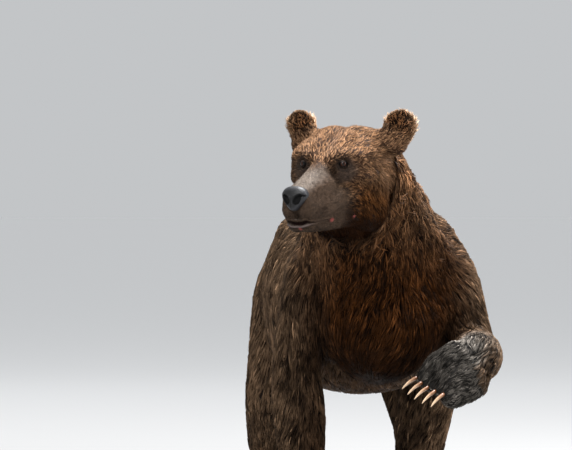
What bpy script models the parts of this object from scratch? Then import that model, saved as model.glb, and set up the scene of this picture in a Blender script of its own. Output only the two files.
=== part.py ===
"""A life-size male grizzly bear that wades towards the viewer with its left forepaw lifted.

Metres, +Z up. The bear faces -Y, its left side is +X, and it stands on the floor at z = 0.
The outline is that of the wet coat. Muscles and bones are balls and hulls of balls between
named joints. They are fused by a voxel remesh, smoothed, thinned out, and then parted with
thin cuts into the parts that a person would name.
"""

from math import cos, pi, radians, sin

import bmesh
import bpy
from mathutils import Matrix, Vector

# Driving dimensions, in metres and degrees.
HUMP_HEIGHT = 1.39
RUMP_HEIGHT = 1.235
HIP_Y = 0.52
SHOULDER_Y = -0.46
HEAD_PLACE = Vector((-0.272, -1.05, 1.352))  # the point midway between the eyes
HEAD_TURN = -39.5  # about Z: towards the bear's right
HEAD_PITCH = 6.0  # nose down
EYE_RADIUS = 0.0135
EYE_SPREAD = 0.083  # from the midline to each eye
EYE_RISE = 0.006
EYE_SHOWS = 0.0045  # how far the eyeball stands out of the lids
CLAW_LENGTH_FORE = 0.070  # out of the toe, along its curve
CLAW_LENGTH_HIND = 0.048
CLAW_ROOT = 0.009  # of it in the toe
CLAW_WIDTH = 0.0135
CLAW_HEIGHT = 0.0165
TOES = 5

VOXEL = 0.008
CUT = 0.0005  # the width of the thin cuts between parts
SOCKET_GAP = 0.0004  # the clearance round an eye or a claw
TRIANGLES = 4540  # of the whole body, before it is parted
FINE_COST = 0.01  # how dearly the head and the paws keep their triangles

SIDES = {"left": 1, "right": -1}

# slot: (base colour, roughness)
MATERIALS = {
    "coat": ((0.075, 0.040, 0.020), 0.75),
    "nose_leather": ((0.050, 0.048, 0.050), 0.45),
    "claw_horn": ((0.42, 0.27, 0.15), 0.40),
    "eye": ((0.030, 0.014, 0.006), 0.05),
}


def mirrored(point, side):
    """The point as it lies on the given side, +1 for the left and -1 for the right."""
    return Vector((point[0] * side, point[1], point[2]))


def frame_at(place, turn=0.0, pitch=0.0, roll=0.0):
    """A local frame: forward is -Y, the left is +X and up is +Z before it is turned."""
    return (
        Matrix.Translation(place)
        @ Matrix.Rotation(radians(turn), 4, "Z")
        @ Matrix.Rotation(radians(pitch), 4, "X")
        @ Matrix.Rotation(radians(roll), 4, "Y")
    )


def frame_along(place, forward, up):
    """A local frame whose -Y runs along forward and whose +Z is as near to up as it can be."""
    back = -Vector(forward).normalized()
    left = back.cross(Vector(up)).normalized()
    top = left.cross(back)
    matrix = Matrix((left, back, top)).transposed().to_4x4()
    matrix.translation = place
    return matrix


HEAD = frame_at(HEAD_PLACE, HEAD_TURN, HEAD_PITCH)


class Flesh:
    """Overlapping closed shells, to be fused into one body."""

    def __init__(self):
        self.mesh = bmesh.new()

    def ball(self, centre, radii, frame=None):
        """An ellipsoid, lined up with its frame."""
        place = (frame or Matrix.Identity(4)) @ Matrix.Translation(centre)
        if isinstance(radii, (int, float)):
            radii = (radii, radii, radii)
        bmesh.ops.create_icosphere(
            self.mesh,
            subdivisions=3,
            radius=1.0,
            matrix=place @ Matrix.Diagonal((*radii, 1.0)),
        )

    def hull(self, *balls, frame=None, detail=2):
        """The tight skin round several balls, each given as its centre and its radius."""
        frame = frame or Matrix.Identity(4)
        shell = bmesh.new()
        for centre, radius in balls:
            place = frame @ Matrix.Translation(centre)
            bmesh.ops.create_icosphere(shell, subdivisions=detail, radius=radius, matrix=place)
        tighten(shell)
        mesh = bpy.data.meshes.new("hull")
        shell.to_mesh(mesh)
        shell.free()
        self.mesh.from_mesh(mesh)
        bpy.data.meshes.remove(mesh)


def tighten(shell):
    """Leaves only the convex hull of the mesh's vertices."""
    bmesh.ops.delete(shell, geom=shell.edges[:], context="EDGES_FACES")
    bmesh.ops.convex_hull(shell, input=shell.verts[:])
    spare = [vertex for vertex in shell.verts if not vertex.link_faces]
    bmesh.ops.delete(shell, geom=spare, context="VERTS")
    bmesh.ops.recalc_face_normals(shell, faces=shell.faces[:])


# ---- Joints. Each leg's are given for the left side and then placed on its own side. ----

SHOULDER = Vector((0.215, SHOULDER_Y, 0.90))
STANDING_ELBOW = Vector((0.286, -0.35, 0.66))
STANDING_WRIST = Vector((0.262, -0.42, 0.17))
STANDING_PAW = Vector((0.250, -0.47, 0.0))
LIFTED_ELBOW = Vector((0.335, -0.44, 0.665))
LIFTED_WRIST = Vector((0.296, -0.83, 0.706))
LIFTED_DIGITS = Vector((-0.80, -0.30, -0.49))  # the way that the lifted paw's toes point
LIFTED_BACK = Vector((-0.29, -0.53, 0.80))  # the way that the back of the lifted paw faces

HIP = Vector((0.17, HIP_Y, 0.86))
# (knee, ankle, middle of the sole) of each hind leg: the left is forward, the right trails.
HIND_STANCE = {
    "left": (Vector((0.268, 0.24, 0.51)), Vector((0.230, 0.36, 0.14)), Vector((0.220, 0.25, 0.0))),
    "right": (Vector((0.282, 0.41, 0.50)), Vector((0.240, 0.71, 0.14)), Vector((0.230, 0.61, 0.0))),
}


# (y, height of the back, radius, how far the two balls stand from the midline)
BACKBONE = (
    (-0.20, 1.290, 0.15, 0.010),
    (0.12, 1.205, 0.20, 0.055),
    (0.44, 1.235, 0.23, 0.070),
    (0.63, 1.165, 0.21, 0.070),
    (0.75, 1.050, 0.14, 0.050),
)


def add_trunk(flesh):
    spine = []
    for y, height, radius, spread in BACKBONE:
        spine.append(((spread, y, height - radius), radius))
        spine.append(((-spread, y, height - radius), radius))
    for start in range(0, len(spine) - 2, 2):
        flesh.hull(*spine[start : start + 4])
    ribs_radius = 0.325
    flesh.hull(
        ((0.0, -0.34, 0.92), 0.28),
        ((0.045, 0.04, 0.885), ribs_radius),
        ((-0.045, 0.04, 0.885), ribs_radius),
    )
    flesh.hull(
        ((0.060, 0.0, 0.83), 0.30),
        ((-0.060, 0.0, 0.83), 0.30),
        ((0.055, 0.42, 0.86), 0.29),
        ((-0.055, 0.42, 0.86), 0.29),
    )
    flesh.ball((0.0, 0.10, 0.745), (0.345, 0.50, 0.235))  # the belly
    hump = (0.155, 0.25, 0.27)
    flesh.ball((0.0, -0.37, HUMP_HEIGHT - hump[2]), hump)
    rump = (0.310, 0.32, 0.32)
    flesh.ball((0.0, HIP_Y + 0.02, RUMP_HEIGHT - rump[2]), rump)


def add_tail(flesh):
    flesh.hull(
        ((0.0, 0.78, 0.99), 0.060),
        ((0.0, 0.900, 0.935), 0.040),
        ((0.0, 0.940, 0.880), 0.024),
    )


def add_neck(flesh):
    poll = HEAD @ Vector((0.015, 0.215, -0.045))
    throat = HEAD @ Vector((0.0, 0.20, -0.14))
    flesh.hull(((0.0, -0.40, 1.06), 0.235), (poll, 0.155))
    chest = ((-0.01, -0.50, 0.93), 0.245)
    flesh.hull(chest, (throat, 0.140))
    flesh.hull(chest, ((0.0, -0.555, 0.81), 0.225), ((0.0, -0.40, 0.765), 0.205))
    for side in SIDES.values():  # the muscle that runs from the shoulder to the jaw
        flesh.hull(
            ((0.185 * side, -0.45, 0.95), 0.130),
            (HEAD @ Vector((0.055 * side, 0.21, -0.085)), 0.110),
        )
    flesh.hull(((0.0, -0.34, 1.20), 0.13), (poll, 0.135))


def add_head(flesh):
    flesh.ball((0.0, 0.100, -0.010), (0.100, 0.105, 0.110), HEAD)
    for side in SIDES.values():
        # Cranium, forehead and brow. The skull is broad and flat between the ears.
        flesh.ball((0.050 * side, 0.150, 0.022), (0.100, 0.115, 0.103), HEAD)
        flesh.ball((0.090 * side, 0.165, 0.042), (0.064, 0.075, 0.074), HEAD)
        flesh.hull(
            ((0.045 * side, 0.070, 0.042), 0.055),
            ((0.034 * side, 0.018, 0.016), 0.042),
            frame=HEAD,
        )
        flesh.hull(
            ((0.072 * side, 0.020, 0.030), 0.030),
            ((0.118 * side, 0.050, 0.020), 0.045),
            ((0.106 * side, 0.110, 0.028), 0.064),
            frame=HEAD,
        )
        flesh.hull(  # round the eye
            ((0.066 * side, 0.044, -0.004), 0.056),
            ((0.118 * side, 0.052, -0.014), 0.048),
            frame=HEAD,
        )
        # Cheekbone, and the ruff of long hair below the ear.
        flesh.hull(
            ((0.118 * side, 0.040, -0.042), 0.044),
            ((0.121 * side, 0.085, -0.045), 0.058),
            ((0.068 * side, 0.030, -0.045), 0.044),
            frame=HEAD,
        )
        flesh.hull(
            ((0.113 * side, 0.120, -0.070), 0.066),
            ((0.092 * side, 0.120, -0.176), 0.074),
            frame=HEAD,
        )
        # The muzzle's side, full over the canine teeth.
        flesh.hull(
            ((0.024 * side, -0.172, -0.090), 0.034),
            ((0.034 * side, -0.160, -0.136), 0.037),
            ((0.030 * side, -0.045, -0.060), 0.042),
            ((0.042 * side, -0.035, -0.110), 0.044),
            frame=HEAD,
        )
        # Lower jaw and its muscle.
        flesh.hull(
            ((0.022 * side, -0.162, -0.184), 0.031),
            ((0.038 * side, -0.020, -0.172), 0.042),
            ((0.075 * side, 0.090, -0.160), 0.060),
            ((0.080 * side, 0.050, -0.090), 0.060),
            frame=HEAD,
        )
        add_ear(flesh, side)
    # Bridge of the nose, from the forehead down to the nose pad.
    flesh.hull(
        ((0.0, 0.020, -0.004), 0.046),
        ((0.0, -0.090, -0.066), 0.038),
        ((0.0, -0.180, -0.084), 0.034),
        frame=HEAD,
    )


EAR_PLACE = Vector((0.198, 0.180, 0.102))
EAR_TURN = {1: 16.0, -1: 2.0}  # how far outward the opening of the left and of the right ear faces
EAR_LEAN = 20.0
EAR_RADIUS = 0.076
EAR_RIM = 0.012  # half of its thickness


def ear_frame(side):
    """The frame of an ear, at its root: +Z runs up to its tip and -Y out of its opening."""
    return (
        HEAD
        @ Matrix.Translation(mirrored(EAR_PLACE, side))
        @ Matrix.Rotation(radians(EAR_TURN[side] * side), 4, "Z")
        @ Matrix.Rotation(radians(EAR_LEAN * side), 4, "Y")
    )


def add_ear(flesh, side):
    ear = ear_frame(side)
    ring = []
    for step in range(-3, 4):
        angle = radians(step * 38.0)
        across = (EAR_RADIUS - EAR_RIM) * sin(angle)
        up = (EAR_RADIUS - EAR_RIM) * cos(angle) + 0.012
        ring.append(((across, -0.006 * cos(2 * angle), up), EAR_RIM))
    flesh.hull(*ring, ((0.0, 0.016, -0.005), 0.030), frame=ear)
    flesh.hull(
        ((0.026, 0.005, -0.020), 0.028),
        ((-0.026, 0.005, -0.020), 0.028),
        ((0.015, 0.0, -0.060), 0.040),
        ((-0.035, 0.0, -0.060), 0.040),
        frame=ear,
    )


def add_nose(flesh):
    flesh.hull(
        ((0.027, -0.200, -0.074), 0.0240),
        ((-0.027, -0.200, -0.074), 0.0240),
        ((0.016, -0.206, -0.113), 0.0190),
        ((-0.016, -0.206, -0.113), 0.0190),
        frame=HEAD,
    )


def paw_frame(name):
    """The frame of a paw, with its origin in the middle of the sole."""
    side = SIDES[name.split("_")[0]]
    if name == "left_forepaw":
        lifted = frame_along(LIFTED_WRIST, LIFTED_DIGITS, LIFTED_BACK)
        return lifted @ Matrix.Translation((-0.014, -0.100, -0.043))
    if name == "right_forepaw":
        return frame_at(mirrored(STANDING_PAW, side), turn=14.0)
    sole = HIND_STANCE[name.split("_")[0]][2]
    return frame_at(mirrored(sole, side), turn=8.0 * side)


class Paw:
    """The sizes of a paw in its own frame: toes towards -Y, the sole at z = 0."""

    def __init__(self, hind):
        self.hind = hind
        self.width = 0.134 if hind else 0.152  # between the outer toes' middles
        self.toe_radius = 0.0205 if hind else 0.0225
        self.heel = 0.115 if hind else 0.040
        self.claw = CLAW_LENGTH_HIND if hind else CLAW_LENGTH_FORE

    def toe(self, index):
        """The middle of a toe's tip. The row of toes is an arc."""
        across = (index / (TOES - 1) - 0.5) * 2.0
        arc = 0.022 if self.hind else 0.010
        reach = -0.118 + arc * across**2
        return Vector((across * self.width / 2, reach, self.toe_radius * 0.93))


def add_paw(flesh, name):
    frame = paw_frame(name)
    paw = Paw(hind="hind" in name)
    half = paw.width / 2
    sunk = 0.038  # the pads' middles: their balls reach just below the sole
    flesh.hull(
        ((half * 0.82, -0.040, sunk + 0.006), 0.045),
        ((-half * 0.82, -0.040, sunk + 0.006), 0.045),
        ((half * 0.80, paw.heel * 0.6, sunk), 0.041),
        ((-half * 0.80, paw.heel * 0.6, sunk), 0.041),
        ((0.0, paw.heel, sunk + 0.002), 0.041),
        ((0.0, paw.heel * 0.55, 0.078), 0.054),
        frame=frame,
    )
    if not paw.hind:
        outer = SIDES[name.split("_")[0]]  # the broad outer edge of the palm
        flesh.hull(
            ((0.068 * outer, -0.062, 0.037), 0.042),
            ((0.076 * outer, 0.018, 0.042), 0.048),
            ((0.050 * outer, 0.060, 0.046), 0.045),
            frame=frame,
        )
    if name == "left_forepaw":  # the pads hang from a paw that is in the air
        flesh.hull(
            ((0.085, -0.095, 0.0), 0.042),
            ((0.085, 0.0, -0.012), 0.050),
            ((0.060, 0.062, 0.005), 0.050),
            ((0.030, -0.050, 0.020), 0.045),
            frame=frame,
        )
    for index in range(TOES):
        tip = paw.toe(index)
        knuckle = Vector((tip.x * 0.82, tip.y + 0.062, 0.050))
        flesh.hull((knuckle, 0.030), (tip, paw.toe_radius), frame=frame)


def add_forelegs(flesh):
    for name, side in SIDES.items():
        lifted = name == "left"
        shoulder = mirrored(SHOULDER, side)
        elbow = mirrored(LIFTED_ELBOW if lifted else STANDING_ELBOW, side)
        wrist = mirrored(LIFTED_WRIST if lifted else STANDING_WRIST, side)
        # The blade of the leg that bears the weight is pushed up.
        blade = mirrored((0.150, -0.36, 1.09 if lifted else 1.12), side)
        flesh.hull((blade, 0.115), (shoulder, 0.140), (mirrored((0.20, -0.28, 0.96), side), 0.13))
        if lifted:  # the muscle over the point of the shoulder, drawn together
            flesh.hull(((0.172, -0.38, 1.085), 0.112), ((0.246, -0.42, 0.93), 0.123), (elbow, 0.09))
        flesh.hull((shoulder, 0.140), (elbow, 0.092))
        flesh.hull((mirrored((0.225, -0.34, 0.86), side), 0.13), (elbow, 0.092))
        flesh.hull((elbow, 0.094), (elbow.lerp(wrist, 0.35), 0.104), (wrist, 0.078))
        paw_top = paw_frame(f"{name}_forepaw") @ Vector((0.0, 0.0, 0.060))
        flesh.hull((wrist, 0.078), (paw_top, 0.064))
        add_paw(flesh, f"{name}_forepaw")


def add_hindlegs(flesh):
    for name, side in SIDES.items():
        knee, ankle, _ = (mirrored(point, side) for point in HIND_STANCE[name])
        hip = mirrored(HIP, side)
        seat = mirrored((0.155, HIP_Y + 0.17, 0.80), side)
        calf = knee.lerp(ankle, 0.42) + Vector((0.0, 0.035, 0.0))
        flesh.hull((hip, 0.185), (knee, 0.112), (seat, 0.14))
        flesh.hull((hip, 0.17), (calf, 0.095))
        flesh.hull((knee, 0.112), (calf, 0.104), (ankle, 0.073))
        frame = paw_frame(f"{name}_hindpaw")
        flesh.hull((ankle, 0.073), (frame @ Vector((0.0, 0.10, 0.050)), 0.052))
        flesh.hull((ankle, 0.064), (frame @ Vector((0.0, -0.03, 0.055)), 0.050))
        add_paw(flesh, f"{name}_hindpaw")


def clear_scene():
    for obj in list(bpy.data.objects):
        bpy.data.objects.remove(obj, do_unlink=True)


def new_object(name, mesh):
    obj = bpy.data.objects.new(name, mesh)
    bpy.context.scene.collection.objects.link(obj)
    return obj


def applied(obj, name):
    """The object with its modifiers made real, under a new name."""
    bpy.context.view_layer.update()
    graph = bpy.context.evaluated_depsgraph_get()
    mesh = bpy.data.meshes.new_from_object(obj.evaluated_get(graph))
    bpy.data.objects.remove(obj, do_unlink=True)
    return new_object(name, mesh)


def islands(mesh):
    """The connected bodies of a bmesh, each a set of its vertices, the largest first."""
    left = set(mesh.verts)
    found = []
    while left:
        todo = [left.pop()]
        body = set(todo)
        while todo:
            for edge in todo.pop().link_edges:
                for vertex in edge.verts:
                    if vertex in left:
                        left.remove(vertex)
                        body.add(vertex)
                        todo.append(vertex)
        found.append(body)
    return sorted(found, key=len, reverse=True)


def keep_largest(obj):
    """Pockets closed in between the shells are dropped."""
    mesh = bmesh.new()
    mesh.from_mesh(obj.data)
    for body in islands(mesh)[1:]:
        bmesh.ops.delete(mesh, geom=list(body), context="VERTS")
    mesh.to_mesh(obj.data)
    mesh.free()


def ear_hollows():
    """The cupped insides of both ears, as one cutter."""
    flesh = Flesh()
    for side in SIDES.values():
        ear = ear_frame(side) @ Matrix.Rotation(radians(6.0), 4, "X")
        depth = EAR_RADIUS * 0.62
        flesh.ball((0.0, -0.043, 0.014), (EAR_RADIUS * 0.70, depth, EAR_RADIUS * 0.80), ear)
    mesh = bpy.data.meshes.new("ear hollows")
    flesh.mesh.to_mesh(mesh)
    flesh.mesh.free()
    return as_cutter(new_object("ear hollows", mesh))


def as_cutter(obj):
    obj.hide_render = True
    obj.display_type = "WIRE"
    return obj


def fused(flesh):
    """One closed surface round all the shells."""
    mesh = bpy.data.meshes.new("shells")
    flesh.mesh.to_mesh(mesh)
    flesh.mesh.free()
    obj = new_object("shells", mesh)
    remesh = obj.modifiers.new("fuse", "REMESH")
    remesh.mode = "VOXEL"
    remesh.voxel_size = VOXEL
    obj = applied(obj, "fused")
    keep_largest(obj)
    hollows = ear_hollows()
    obj = boolean(obj, hollows, "DIFFERENCE", "fused")
    bpy.data.objects.remove(hollows, do_unlink=True)
    return obj


def boolean(obj, cutter, operation, name):
    change = obj.modifiers.new("cut", "BOOLEAN")
    change.operation = operation
    change.solver = "EXACT"
    change.object = cutter
    return applied(obj, name)


def fineness(point):
    """1 where the shape is small, on the head and the paws, and 0 on the body."""
    near_head = (point - HEAD @ Vector((0.0, 0.0, -0.06))).length
    fine = 1.0 - smooth_step(0.20, 0.36, near_head)
    for name in ("left_forepaw", "right_forepaw", "left_hindpaw", "right_hindpaw"):
        near_paw = (point - paw_frame(name) @ Vector((0.0, -0.03, 0.03))).length
        fine = max(fine, 1.0 - smooth_step(0.12, 0.24, near_paw))
    return fine


def smooth_step(low, high, value):
    share = min(max((value - low) / (high - low), 0.0), 1.0)
    return share * share * (3.0 - 2.0 * share)


def smoothed(obj, body_passes=34, fine_passes=4):
    """The creases between muscles eased: widely on the body, a little on head and paws."""
    body = obj.vertex_groups.new(name="body")
    thinning = obj.vertex_groups.new(name="thinning")
    for vertex in obj.data.vertices:
        weight = fineness(vertex.co)
        body.add([vertex.index], 1.0 - weight, "REPLACE")
        thinning.add([vertex.index], 1.0 - 0.9 * weight, "REPLACE")
    for group, passes in (("body", body_passes), ("", fine_passes)):
        smooth = obj.modifiers.new("ease " + group, "SMOOTH")
        smooth.factor = 0.5
        smooth.iterations = passes
        smooth.vertex_group = group
    thin = obj.modifiers.new("thin out", "DECIMATE")
    thin.ratio = 0.5 * TRIANGLES / len(obj.data.polygons)
    thin.vertex_group = "thinning"
    thin.vertex_group_factor = FINE_COST
    return applied(obj, "bear")


def whole_bear():
    flesh = Flesh()
    add_trunk(flesh)
    add_tail(flesh)
    add_neck(flesh)
    add_head(flesh)
    add_nose(flesh)
    add_forelegs(flesh)
    add_hindlegs(flesh)
    bear = smoothed(fused(flesh))
    flatten_soles(bear)
    return bear


def flatten_soles(obj):
    """The floor cuts a small flat under each foot that stands on it."""
    mesh = bmesh.new()
    mesh.from_mesh(obj.data)
    geometry = mesh.verts[:] + mesh.edges[:] + mesh.faces[:]
    cut = bmesh.ops.bisect_plane(
        mesh,
        geom=geometry,
        dist=1e-6,
        plane_co=(0.0, 0.0, 0.0),
        plane_no=(0.0, 0.0, -1.0),
        clear_outer=True,
    )
    edges = [item for item in cut["geom_cut"] if isinstance(item, bmesh.types.BMEdge)]
    bmesh.ops.holes_fill(mesh, edges=edges, sides=0)
    bmesh.ops.triangulate(mesh, faces=mesh.faces[:])
    bmesh.ops.recalc_face_normals(mesh, faces=mesh.faces[:])
    mesh.to_mesh(obj.data)
    mesh.free()


# ---- Parting the body. Each room is a convex space, and what lies in it is one part. ----


def room(*corners, frame=None):
    """The convex space between the corners."""
    frame = frame or Matrix.Identity(4)
    shell = bmesh.new()
    for corner in corners:
        shell.verts.new(frame @ Vector(corner))
    tighten(shell)
    return shell


def block(x, y, z, frame=None):
    """A room with flat sides, from its ranges."""
    corners = [(a, b, c) for a in x for b in y for c in z]
    return room(*corners, frame=frame)


def taper(low, high, frame=None):
    """A room between two level rectangles, each ((x, x), (y, y), z)."""
    corners = [(a, b, z) for xs, ys, z in (low, high) for a in xs for b in ys]
    return room(*corners, frame=frame)


def part_off(body, name, space):
    """Splits the body: what is inside the space gets the name, and the rest is returned."""
    inside = new_object(name, body.data.copy())
    mesh = bpy.data.meshes.new("room")
    space.to_mesh(mesh)
    cutter = as_cutter(new_object("room", mesh))
    inside = boolean(inside, cutter, "INTERSECT", name)
    space.normal_update()
    moves = [vertex.normal * CUT * vertex.calc_shell_factor() for vertex in space.verts]
    for vertex, move in zip(space.verts, moves):
        vertex.co += move
    space.to_mesh(mesh)
    mesh.update()
    space.free()
    rest = boolean(body, cutter, "DIFFERENCE", body.name)
    bpy.data.objects.remove(cutter, do_unlink=True)
    return inside, rest


def side_span(side, near, far):
    """A range of x given from the midline outward."""
    return (near * side, far * side)


def part_legs(body):
    parts = {}
    lifted = paw_frame("left_forepaw")
    space = block((-0.16, 0.16), (-0.30, 0.040), (-0.08, 0.13), frame=lifted)
    parts["left_forepaw"], body = part_off(body, "left_forepaw", space)
    along = frame_along(LIFTED_ELBOW, LIFTED_WRIST - LIFTED_ELBOW, (0.0, 0.0, 1.0))
    space = block((-0.13, 0.118), (-0.60, -0.050), (-0.14, 0.12), frame=along)
    parts["left_forearm"], body = part_off(body, "left_forearm", space)
    reach = (-0.80, -0.15)
    space = block((-0.46, -0.06), reach, (-0.10, 0.13))
    parts["right_forepaw"], body = part_off(body, "right_forepaw", space)
    space = taper(((-0.50, -0.08), reach, 0.12), ((-0.50, -0.17), reach, 0.58))
    parts["right_forearm"], body = part_off(body, "right_forearm", space)
    for name, side in SIDES.items():
        low = (side_span(side, 0.17, 0.60), (-0.80, -0.16), 0.46)
        high = (side_span(side, 0.345, 0.60), (-0.70, -0.24), 1.20)
        part = f"{name}_upper_arm"
        parts[part], body = part_off(body, part, taper(low, high))
        behind = (0.0, 1.2)
        across = side_span(side, 0.04, 0.50)
        part = f"{name}_hindpaw"
        parts[part], body = part_off(body, part, block(across, behind, (-0.10, 0.13)))
        part = f"{name}_shank"
        parts[part], body = part_off(body, part, block(across, behind, (0.12, 0.41)))
        knee = HIND_STANCE[name][0]
        low = (side_span(side, 0.06, 0.60), (knee.y - 0.24, 0.98), 0.39)
        high = (side_span(side, 0.335, 0.60), (knee.y - 0.02, 0.90), 1.08)
        part = f"{name}_thigh"
        parts[part], body = part_off(body, part, taper(low, high))
    return parts, body


def part_head(body):
    parts = {}
    space = block((-0.10, 0.10), (0.885, 1.10), (0.80, 1.05))
    parts["tail"], body = part_off(body, "tail", space)
    profile = ((-0.50, 0.40), (0.250, 0.40), (0.228, 0.0), (0.165, -0.262), (-0.50, -0.262))
    corners = [(x, y, z) for x in (-0.45, 0.45) for y, z in profile]
    head, body = part_off(body, "head", room(*corners, frame=HEAD))
    profile = ((-0.475, 1.60), (-0.800, 0.70), (-1.60, 0.70), (-1.60, 1.60))
    corners = [(x, y, z) for x in (-0.60, 0.60) for y, z in profile]
    parts["neck"], body = part_off(body, "neck", room(*corners))
    for name, side in SIDES.items():
        part = f"{name}_ear"
        inner = side_span(side, -0.075, 0.12)
        space = block(inner, (-0.10, 0.12), (-0.004, 0.15), frame=ear_frame(side))
        parts[part], head = part_off(head, part, space)
    space = block((-0.07, 0.07), (-0.30, -0.194), (-0.134, -0.02), frame=HEAD)
    parts["nose"], head = part_off(head, "nose", space)
    parts["head"] = head
    return parts, body


# ---- Mouth, nostrils, eyes and claws. ----


def cut_out(obj, space):
    """Takes the space out of the object."""
    mesh = bpy.data.meshes.new("space")
    space.to_mesh(mesh)
    space.free()
    cutter = as_cutter(new_object("space", mesh))
    done = boolean(obj, cutter, "DIFFERENCE", obj.name)
    bpy.data.objects.remove(cutter, do_unlink=True)
    return done


def mouth():
    """The gap between the lips: open in front, closed at the lips' corners."""
    front = [(x, -0.24, z) for x in (-0.12, 0.12) for z in (-0.167, -0.175)]
    corner = [(x, -0.070, z) for x in (-0.12, 0.12) for z in (-0.1755, -0.1765)]
    return room(*front, *corner, frame=HEAD)


def nostril(side):
    flesh = Flesh()
    flesh.hull(
        ((0.020 * side, -0.228, -0.080), 0.0095),
        ((0.036 * side, -0.218, -0.088), 0.0045),
        ((0.018 * side, -0.206, -0.082), 0.0065),
        frame=HEAD,
        detail=1,
    )
    return flesh.mesh


def globe(centre, radius):
    shell = bmesh.new()
    bmesh.ops.create_uvsphere(
        shell,
        u_segments=12,
        v_segments=7,
        radius=radius,
        matrix=Matrix.Translation(centre) @ HEAD.to_3x3().to_4x4(),
    )
    return shell


def add_eyes(head):
    """An eyeball in its socket on each side. The socket opens outward between the lids."""
    parts = {}
    inward = HEAD.to_3x3() @ Vector((0.0, 1.0, 0.0))
    for name, side in SIDES.items():
        found, surface, _, _ = head.ray_cast(HEAD @ Vector((EYE_SPREAD * side, -0.3, EYE_RISE)), inward)
        outward = (HEAD.to_3x3() @ Vector((0.62 * side, -1.0, 0.06))).normalized()
        centre = surface - outward * (EYE_RADIUS - EYE_SHOWS)
        socket = globe(centre, EYE_RADIUS + SOCKET_GAP * 1.5)
        bmesh.ops.create_icosphere(
            socket,
            subdivisions=1,
            radius=EYE_RADIUS * 0.85,
            matrix=Matrix.Translation(centre + outward * 0.030),
        )
        tighten(socket)
        head = cut_out(head, socket)
        ball = globe(centre, EYE_RADIUS)
        mesh = bpy.data.meshes.new("eye")
        ball.to_mesh(mesh)
        ball.free()
        parts[f"{name}_eye"] = new_object(f"{name}_eye", mesh)
    return parts, head


def claw(frame, paw, index, grown=0.0):
    """A curved claw that rises a little from its toe and then bends down to a point."""
    toe = paw.toe(index)
    across = (index / (TOES - 1) - 0.5) * 2.0
    turn = Matrix.Rotation(radians(5.0 * across), 4, "Z")
    lift, droop = (12.0, -32.0) if not paw.hind else (2.0, -36.0)
    root = toe + Vector((0.0, -0.60 * paw.toe_radius, 0.46 * paw.toe_radius))
    place = frame @ Matrix.Translation(root) @ turn
    length = paw.claw + CLAW_ROOT
    rings, sides = 4, 6
    shell = bmesh.new()
    point = Vector((0.0, CLAW_ROOT, -CLAW_ROOT * sin(radians(lift))))
    loops = []
    for ring in range(rings):
        share = ring / rings
        angle = radians(lift + (droop - lift) * share)
        taper_to = (1.0 - share**1.5) ** 0.75
        loop = []
        back = 0.0 if ring else grown
        for step in range(sides):
            phase = 2.0 * pi * step / sides
            wide = cos(phase) * (CLAW_WIDTH / 2 * taper_to + grown)
            tall = sin(phase) * (CLAW_HEIGHT / 2 * taper_to + grown)
            corner = point + Vector((wide, back + tall * sin(angle), tall * cos(angle)))
            loop.append(shell.verts.new(place @ corner))
        loops.append(loop)
        step_length = length / rings
        angle = radians(lift + (droop - lift) * (share + 0.5 / rings))
        point = point + Vector((0.0, -cos(angle), sin(angle))) * step_length
    tip = shell.verts.new(place @ point)
    shell.faces.new(loops[0])
    for near, far in zip(loops, loops[1:]):
        for a in range(sides):
            b = (a + 1) % sides
            shell.faces.new((near[a], near[b], far[b], far[a]))
    for a in range(sides):
        shell.faces.new((loops[-1][a], loops[-1][(a + 1) % sides], tip))
    bmesh.ops.recalc_face_normals(shell, faces=shell.faces[:])
    return shell


def add_claws(parts):
    for limb in ("left_forepaw", "right_forepaw", "left_hindpaw", "right_hindpaw"):
        frame = paw_frame(limb)
        paw = Paw(hind="hind" in limb)
        side = SIDES[limb.split("_")[0]]
        for index in range(TOES):
            # Digits are counted from the inner side of the paw.
            digit = index + 1 if side > 0 else TOES - index
            parts[limb] = cut_out(parts[limb], claw(frame, paw, index, grown=SOCKET_GAP))
            name = f"{limb}_claw_{digit}"
            shell = claw(frame, paw, index)
            mesh = bpy.data.meshes.new(name)
            shell.to_mesh(mesh)
            shell.free()
            parts[name] = new_object(name, mesh)


# ---- The finished object. ----


def slot_of(name):
    if "claw" in name:
        return "claw_horn"
    if name == "nose":
        return "nose_leather"
    return "eye" if name.endswith("_eye") else "coat"


def painted(obj, name):
    colour, roughness = MATERIALS[slot_of(name)]
    material = bpy.data.materials.new(f"{name} {slot_of(name)}")
    material.use_nodes = True
    shader = material.node_tree.nodes["Principled BSDF"]
    shader.inputs["Base Color"].default_value = (*colour, 1.0)
    shader.inputs["Roughness"].default_value = roughness
    material.diffuse_color = (*colour, 1.0)
    obj.data.materials.clear()
    obj.data.materials.append(material)


def triangulated(obj):
    """Faces as triangles, with the shortest edges of the cuts merged where that is clean."""
    plain = bmesh.new()
    plain.from_mesh(obj.data)
    merged = plain.copy()
    bmesh.ops.dissolve_degenerate(merged, dist=0.004, edges=merged.edges[:])
    for mesh in (merged, plain):
        bmesh.ops.triangulate(mesh, faces=mesh.faces[:])
    clean = all(edge.is_manifold for edge in merged.edges) and len(islands(merged)) == 1
    (merged if clean else plain).to_mesh(obj.data)
    plain.free()
    merged.free()


def to_origin(parts):
    """The origin is the middle of the bottom of the bounding box."""
    corners = [vertex.co for obj in parts.values() for vertex in obj.data.vertices]
    low = [min(corner[axis] for corner in corners) for axis in range(3)]
    high = [max(corner[axis] for corner in corners) for axis in range(3)]
    move = Vector((-(low[0] + high[0]) / 2, -(low[1] + high[1]) / 2, -low[2]))
    for obj in parts.values():
        obj.data.transform(Matrix.Translation(move))
    return move


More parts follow.
